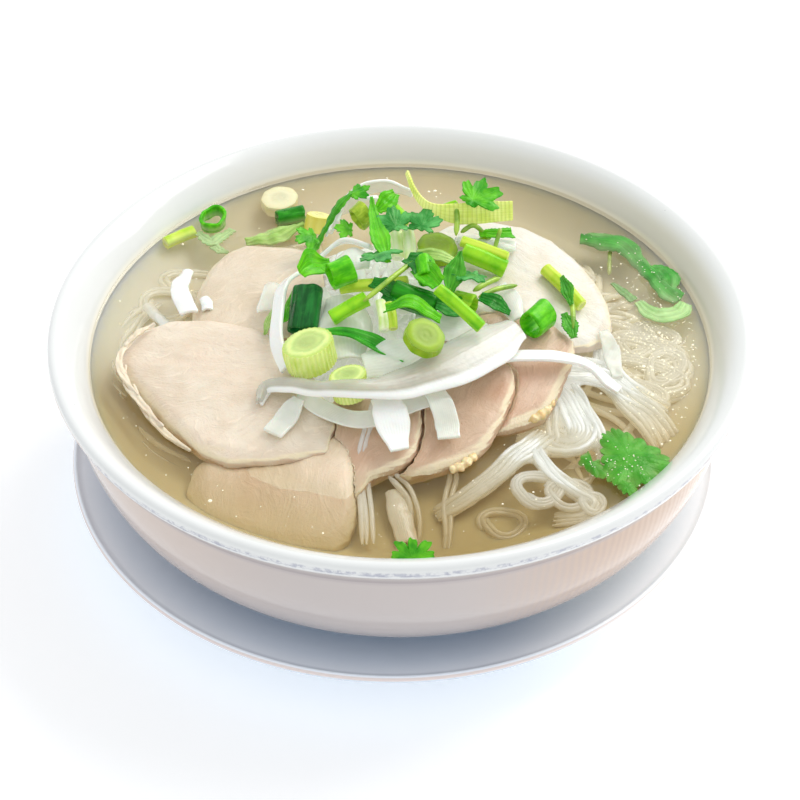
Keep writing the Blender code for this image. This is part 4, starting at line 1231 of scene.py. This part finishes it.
def make_thin_stems():
    """Thin coriander stalks between the larger pieces."""
    finish = Finish("coriander_stalk", {"Coat Weight": 0.3, "Coat Roughness": 0.1})
    cloud = finish.noise(5.0, 3.0)
    tone = finish.mix(rgb(96, 150, 20), rgb(176, 208, 70), cloud.ramp(0.3, 0.7))
    finish.feed(Base_Color=finish.under_broth(tone), Roughness=cloud * 0.2 + 0.2)
    finish.bump(finish.noise(0.8, 2.0), 0.15)
    routes = []
    for points in (
        [(-10, -13, 77.5), (-2.8, -5.8, 79.5), (3.9, 2.1, 80)],
        [(16.2, 27.8, 82), (16.6, 23, 80), (16.2, 17.9, 77.5)],
        [(29.3, 21.8, 77), (28.4, 19.5, 75.5), (27.3, 16.4, 73)],
        [(20.5, -3.8, 74), (24.5, -0.6, 74.3), (28.4, 3.0, 73.4)],
        [(22, -5.8, 73.3), (27, -2.6, 73.6), (33.1, 0.6, 72.6)],
        [(17.7, 20.7, 76.5), (21.2, 22.6, 77.6), (24.2, 21.8, 76)],
        [(13.5, -10.5, 76), (14.0, -7, 77.5), (14.6, -4, 78.5)],
        [(65.4, 45.2, 54.5), (64.6, 39.3, 53.4), (64.0, 32.5, 52.2)],
        [(46.4, 7.7, 70.4), (47.6, 2, 70.2), (48.6, -5, 69), (48.4, -12, 67)],
    ):
        routes.append(smooth_path(points, 14))
    finish_piece(strands("thin_stalks", routes, 0.75), finish, "green")


def make_barrels():
    """Hollow rings and lengths of leaf."""
    leek = green_finish("leek_leaf", (4, 74, 36), (36, 130, 56), ribs=9)
    deep = green_finish("deep_leaf", (6, 100, 14), (40, 150, 26), ribs=8)
    fresh = green_finish("fresh_leaf", (50, 160, 6), (110, 206, 30), ribs=6)
    lime = green_finish("lime_ring", (100, 186, 6), (178, 220, 56), ribs=7)
    olive = green_finish("olive_ring", (110, 150, 20), (178, 200, 70), ribs=5)
    for node, start, end, radius, wall, finish, slot, flare in (
        ("leek_tube", (-26, -1, 78), (-27.5, -12, 71), 4.2, 1.0, leek, "dark_green", 0.0),
        ("green_ring_1", (-19.5, -4, 78), (-13.5, -1, 79), 4.2, 0.8, fresh, "green", 0.4),
        ("green_tube_1", (-2, -5, 80), (10, -9, 78), 4.0, 0.8, deep, "dark_green", 0.0),
        ("green_ring_2", (15, -5, 76), (20.5, -8, 76), 3.6, 0.9, lime, "yellow_green", 0.3),
        ("green_ring_3", (36, -15, 68), (41, -9, 68), 4.0, 1.0, fresh, "green", 0.3),
        ("green_ring_4", (-59, 57, 54), (-59, 56.6, 58), 4.4, 1.0, fresh, "green", 0.3),
        ("green_tube_2", (-39, 57.5, 58), (-30.5, 60.5, 58), 2.9, 0.9, deep, "dark_green", 0.0),
    ):
        piece = barrel("cut_" + node, start, end, radius, wall, flare=flare, node=node)
        finish_piece(piece, finish, slot, node)
    finish_piece(barrel("short_tube", (7.0, 2.0, 80), (7.4, -5, 79), 3.0, 0.8), fresh, "green")
    curl = barrel("olive_curl", (-13, 29, 75), (-9.6, 31.5, 76.4), 3.6, 0.8, 0.15)
    finish_piece(curl, olive, "yellow_green")


def make_leaf_strips():
    """Flat and folded pieces of leaf."""
    fresh = green_finish("fold_leaf", (50, 158, 6), (116, 206, 32), ribs=4)
    deep = green_finish("strip_leaf", (16, 124, 24), (80, 186, 50), ribs=3)
    dark = green_finish("dark_leaf", (10, 96, 26), (44, 146, 44), ribs=4)
    # painted light: the comb leaf glows more, to lift the shade on its face
    comb = green_finish("comb_leaf", (196, 212, 84), (232, 238, 150), combs=34, clear=0.85, glow=0.3)
    pale = green_finish("faded_leaf", (128, 172, 70), (186, 212, 130), ribs=4)
    herb = green_finish("herb_strip", (34, 128, 24), (92, 178, 50), ribs=4)
    wilted = green_finish("wilted_green", (20, 112, 26), (70, 160, 60), ribs=2)
    under = green_finish("wilted_underside", (118, 176, 90), (172, 210, 140), ribs=3)
    for node, path, widths, thickness, tilt, crown, fold, finish, slot in (
        ("green_fold_1", [(-28, -4), (-25, 1), (-20, 7)], (4, 9, 2), 0.5, 50, 0, 2.0, fresh, "green"),
        ("green_fold_2", [(-4, -15), (3, -16.5), (11, -18)], (4, 6, 4), 0.5, 0, 0, 1.6, fresh, "green"),
        ("green_fold_3", [(5, -1), (8, -5), (11, -9)], (5, 7, 5), 0.5, 30, 0, 2.0, fresh, "green"),
        ("leaf_strip", [(-22, -18), (-14, -19), (-6, -22), (2, -26)], (2, 4, 6, 5), 0.6, 0, 0, 2.0,
         deep, "green"),
        ("curly_strip", [(2, 36), (4, 30), (8, 26), (16, 25), (25, 26), (33, 27)], (1.5, 2, 3, 6, 7, 6),
         0.8, 70, 0, 0, comb, "yellow_green"),
        ("coriander_left", [(-13, 41), (-18, 36), (-23, 30), (-27, 25)], (1.2, 2.6, 1.6, 3), 0.45, 0, 1, 0,
         herb, "green"),
        ("pale_leaf", [(-48, 45), (-39, 48), (-30, 53)], (3, 8, 3), 0.45, 0, 1, 0, pale, "pale_green"),
        ("wilted_leaf", [(56, 47), (62, 46), (69, 43), (73, 35), (77, 26), (81, 19), (84, 17)],
         (5, 9, 8, 5, 6, 8, 4), 0.5, 0, 1, 0, wilted, "dark_green"),
    ):
        loose = node in ("wilted_leaf", "coriander_left", "pale_leaf")
        ruffle, ragged = (0.9, 0.5) if loose else (0.3, 0.0)
        piece = ribbon("leaf_" + node, path, widths, thickness, node, tilt, crown, fold, ruffle, ragged)
        finish_piece(piece, finish, slot, node)
    for number, (path, widths, tilt, fold, ragged, finish, *slot) in enumerate((
        ([(-8.5, 34.4, 79.6), (-7.4, 22, 80), (-5.6, 12, 80), (-3.4, 3, 78.6)], (1, 3.4, 5.5, 2), 0, 1.5, 0.3,
         fresh),
        ([(-6.8, 30.6, 77), (-4, 34, 78), (-1.5, 38.4, 78)], (3, 6, 3), 30, 2, 0.4, fresh),
        ([(-29.8, 1.5, 70), (-31.3, -4.2, 69), (-32.4, -10.1, 68)], (2, 3, 2), 20, 0, 0, fresh),
        ([(-35.5, -2.2, 66.4), (-37, -7, 65.6), (-37.8, -12.2, 65.2)], (2, 3, 1), 20, 0, 0, pale),
        ([(22.4, -5.7, 73.4), (26.8, -8, 73), (30.7, -9.5, 70.5)], (3, 5, 2), 20, 1, 0, dark, "dark_green"),
        ([(4.6, 9.5, 76.5), (10.2, 8.2, 77.4), (15.6, 7.1, 76)], (4, 4.5, 3), 10, 1, 0, pale, "pale_green"),
        ([(2, 4, 79.4), (5.5, 0, 80.4), (8.3, -7, 79)], (4, 6, 5), 20, 1.8, 0, dark, "dark_green"),
        ([(-8, -2.5, 75.6), (-4, -5, 76), (0, -9, 75)], (4, 6, 4), 10, 1.5, 0, dark, "dark_green"),
        ([(10, -12, 76), (14, -13, 75), (18, -12, 73)], (4, 6, 3), 30, 1.5, 0, dark, "dark_green"),
        ([(13.6, -9.1, 77), (15.3, -3.9, 80), (17.1, 2.3, 83.4)], (2.5, 6.5, 1), 0, 1.5, 0.35, herb),
        ([(23, 22, 75), (27, 22.6, 74.6), (33, 25.7, 72.4)], (2, 3, 3.5), 30, 1.5, 0.5, fresh),
        ([(46.2, 6, 71.6), (47.5, 0, 71.4), (48.3, -5, 70)], (1.5, 4, 1.5), 30, 1, 0.4, herb),
        ([(46, -7, 68.6), (47.5, -11, 67.2), (48.4, -15, 66)], (2, 5, 2), 0, 1, 0.9, herb),
        ([(70.6, 15.3, 55.3), (73.6, 10, 55.5), (77.5, 8.4, 55.6), (82.3, 9.9, 55.8), (84.4, 13.5, 56)],
         (3, 6, 7, 6, 4), 0, 0, 0.2, under),
        ([(75, 31, 55.6), (79, 29.5, 56.3), (81.4, 25, 56.2), (80.4, 20.5, 55.4)], (2, 5, 6, 3), 0, 0, 0.4,
         wilted),
        ([(-63.5, 51.5, 54.4), (-59, 46, 54.8), (-56, 48, 55), (-52.5, 52.5, 54.8)], (2, 4.5, 4, 2.5), 0, 0,
         0.8, under),
        ([(-58, 44.5, 54.4), (-55.6, 41.8, 54.6), (-53, 41, 54.3)], (3, 3, 1), 0, 0, 0.5, under),
        ([(63.9, 25.2, 54.6), (67.2, 19.6, 55), (69.6, 16.4, 54.8)], (1.5, 3, 3), 0, 0, 0.3, wilted),
    )):
        piece = ribbon(f"small_leaf_{number}", path, widths, 0.45, None, tilt, 0.0, fold, 0.4, ragged)
        finish_piece(piece, finish, *(slot or ["green"]))


def make_herbs():
    """Coriander leaves on the pile and in the broth."""
    finish = herb_finish("coriander_leaf", (40, 140, 20), (104, 194, 40))
    bluish = herb_finish("coriander_dark", (30, 124, 44), (96, 180, 96))
    fan = [(90, 1.1, 24), (38, 1.0, 22), (142, 1.0, 22), (-15, 0.6, 20), (195, 0.6, 20)]
    side = [(108, 0.85, 20), (66, 1.1, 18), (24, 1.15, 19), (-18, 0.95, 17), (160, 0.5, 20)]
    for name, centre, size, lobes, heading, tilt, roll, green, node in (
        ("leaf_top", (21.0, 24.6, 85), 7.8, side, 0, 25, 0, finish, "coriander_top"),
        ("leaf_middle_left", (-1.2, 19.5, 79.5), 6.4, fan, 10, 25, 0, bluish, "coriander_middle"),
        ("leaf_middle_right", (6.2, 19.5, 79.5), 6.4, fan, -20, 20, 0, bluish, "coriander_middle"),
        ("leaf_left_top", (-13.4, 38.4, 77.6), 4.4, fan, 300, 20, 0, finish, "coriander_left"),
        ("leaf_left_tip", (-26.0, 27.0, 70.6), 5.0, fan, 120, 10, -20, finish, "coriander_left"),
        ("leaf_round", (20.1, -2.6, 79), 6.6, fan, 150, 25, 10, bluish, None),
        ("leaf_under", (-6.4, 7.0, 79), 7.2, fan, 200, 30, 0, bluish, None),
        ("leaf_back", (-15.0, 27.0, 73), 4.0, fan, 90, 20, -20, finish, None),
        ("leaf_hidden", (-3.4, -6.5, 75), 5.0, fan, 250, 10, 10, bluish, None),
        ("leaf_low", (12.6, -9.0, 74), 5.0, fan, 300, 10, 0, finish, None),
    ):
        scaled = [(direction, size * length, half) for direction, length, half in lobes]
        leaf = herb_leaf(name, centre, scaled, heading, tilt, roll, seed=size)
        finish_piece(leaf, green, "green", *([node] if node else []))
    tips = [(90, 5.2, 18), (45, 6.0, 16), (10, 5.6, 16), (135, 6.0, 16), (170, 5.6, 16)]
    tips = herb_leaf("leaf_at_rim", (3.2, -90.6, 57.6), tips, 0, 55, teeth=9, seed=8.0)
    finish_piece(tips, finish, "green", "coriander_front")
    level = box_mm("coriander_front_right")[0].z + 1.2
    afloat = [(54, -45), (56.5, -42), (59.5, -42), (64.5, -46), (70.5, -52), (71, -57), (66, -62), (61, -63),
              (56, -62.5), (53.8, -58), (53.9, -51)]
    tail = [(54.5, -59.5), (51.6, -59.8), (49.1, -56.5), (47.6, -53.4), (50.1, -49.8), (49.9, -54.5),
            (52.8, -53.4)]
    tip = [(57.4, -65), (59.3, -66.6), (61.5, -65.6), (60.4, -62), (57, -61)]
    vivid = herb_finish("floating_leaf", (34, 128, 14), (70, 154, 40))
    for name, outline, teeth, lift, bite in (
        ("leaf_afloat", afloat, 20, 0.0, 1.2), ("leaf_afloat_tail", tail, 9, -0.4, 0.7),
        ("leaf_afloat_tip", tip, 7, -0.2, 0.8),
    ):
        points = [Vector((x, y, 0)) for x, y in outline]
        leaf = outlined_leaf(name, points, level + lift, teeth, bite)
        finish_piece(leaf, vivid, "green", "coriander_front_right")


# ---------------------------------------------------------------- studio


def make_studio():
    """A pale floor, one large soft light from behind, and the camera."""
    deselect()
    bpy.ops.mesh.primitive_plane_add(size=6.0, location=(0, 0, 0))
    floor = bpy.context.object
    floor.name = "floor"
    finish = Finish("floor_paper", {"Roughness": 0.9, "Emission Strength": 0.16})
    finish.feed(Base_Color=finish.mix((0.95, 0.95, 0.95), (0.94, 0.94, 0.94), finish.noise(400.0)))
    finish.feed(Emission_Color=(1.0, 1.0, 1.0))
    floor.data.materials.append(finish.material)

    scene = bpy.context.scene
    scene.view_settings.view_transform = "Standard"
    world = bpy.data.worlds.new("studio")
    world.use_nodes = True
    world.node_tree.nodes["Background"].inputs["Color"].default_value = (0.95, 0.975, 1.0, 1.0)
    world.node_tree.nodes["Background"].inputs["Strength"].default_value = 0.93
    scene.world = world

    lamp = bpy.data.lights.new("key", "AREA")
    lamp.size = 0.65
    lamp.energy = 6.6
    lamp.color = (1.0, 0.985, 0.96)
    light = placed("key", lamp)
    light.location = (0.50, 0.42, 0.80)
    light.rotation_euler = (Vector((0, 0, 0.04)) - light.location).to_track_quat("-Z", "Y").to_euler()

    view = bpy.data.cameras.new("camera")
    view.sensor_width = 36.0
    view.lens = 73.7
    look_down = math.radians(41.5)
    camera = placed("camera", view)
    camera.location = (0.0, -0.3679, 0.3553)
    camera.rotation_euler = (math.pi / 2 - look_down, 0.0, 0.0)
    scene.camera = camera


make_studio()
make_bowl()
make_plate()
make_broth()
make_noodles()
make_chicken()
make_trimmings()
make_onions()
make_stalks()
make_thin_stems()
make_barrels()
make_leaf_strips()
make_herbs()
make_droplets()
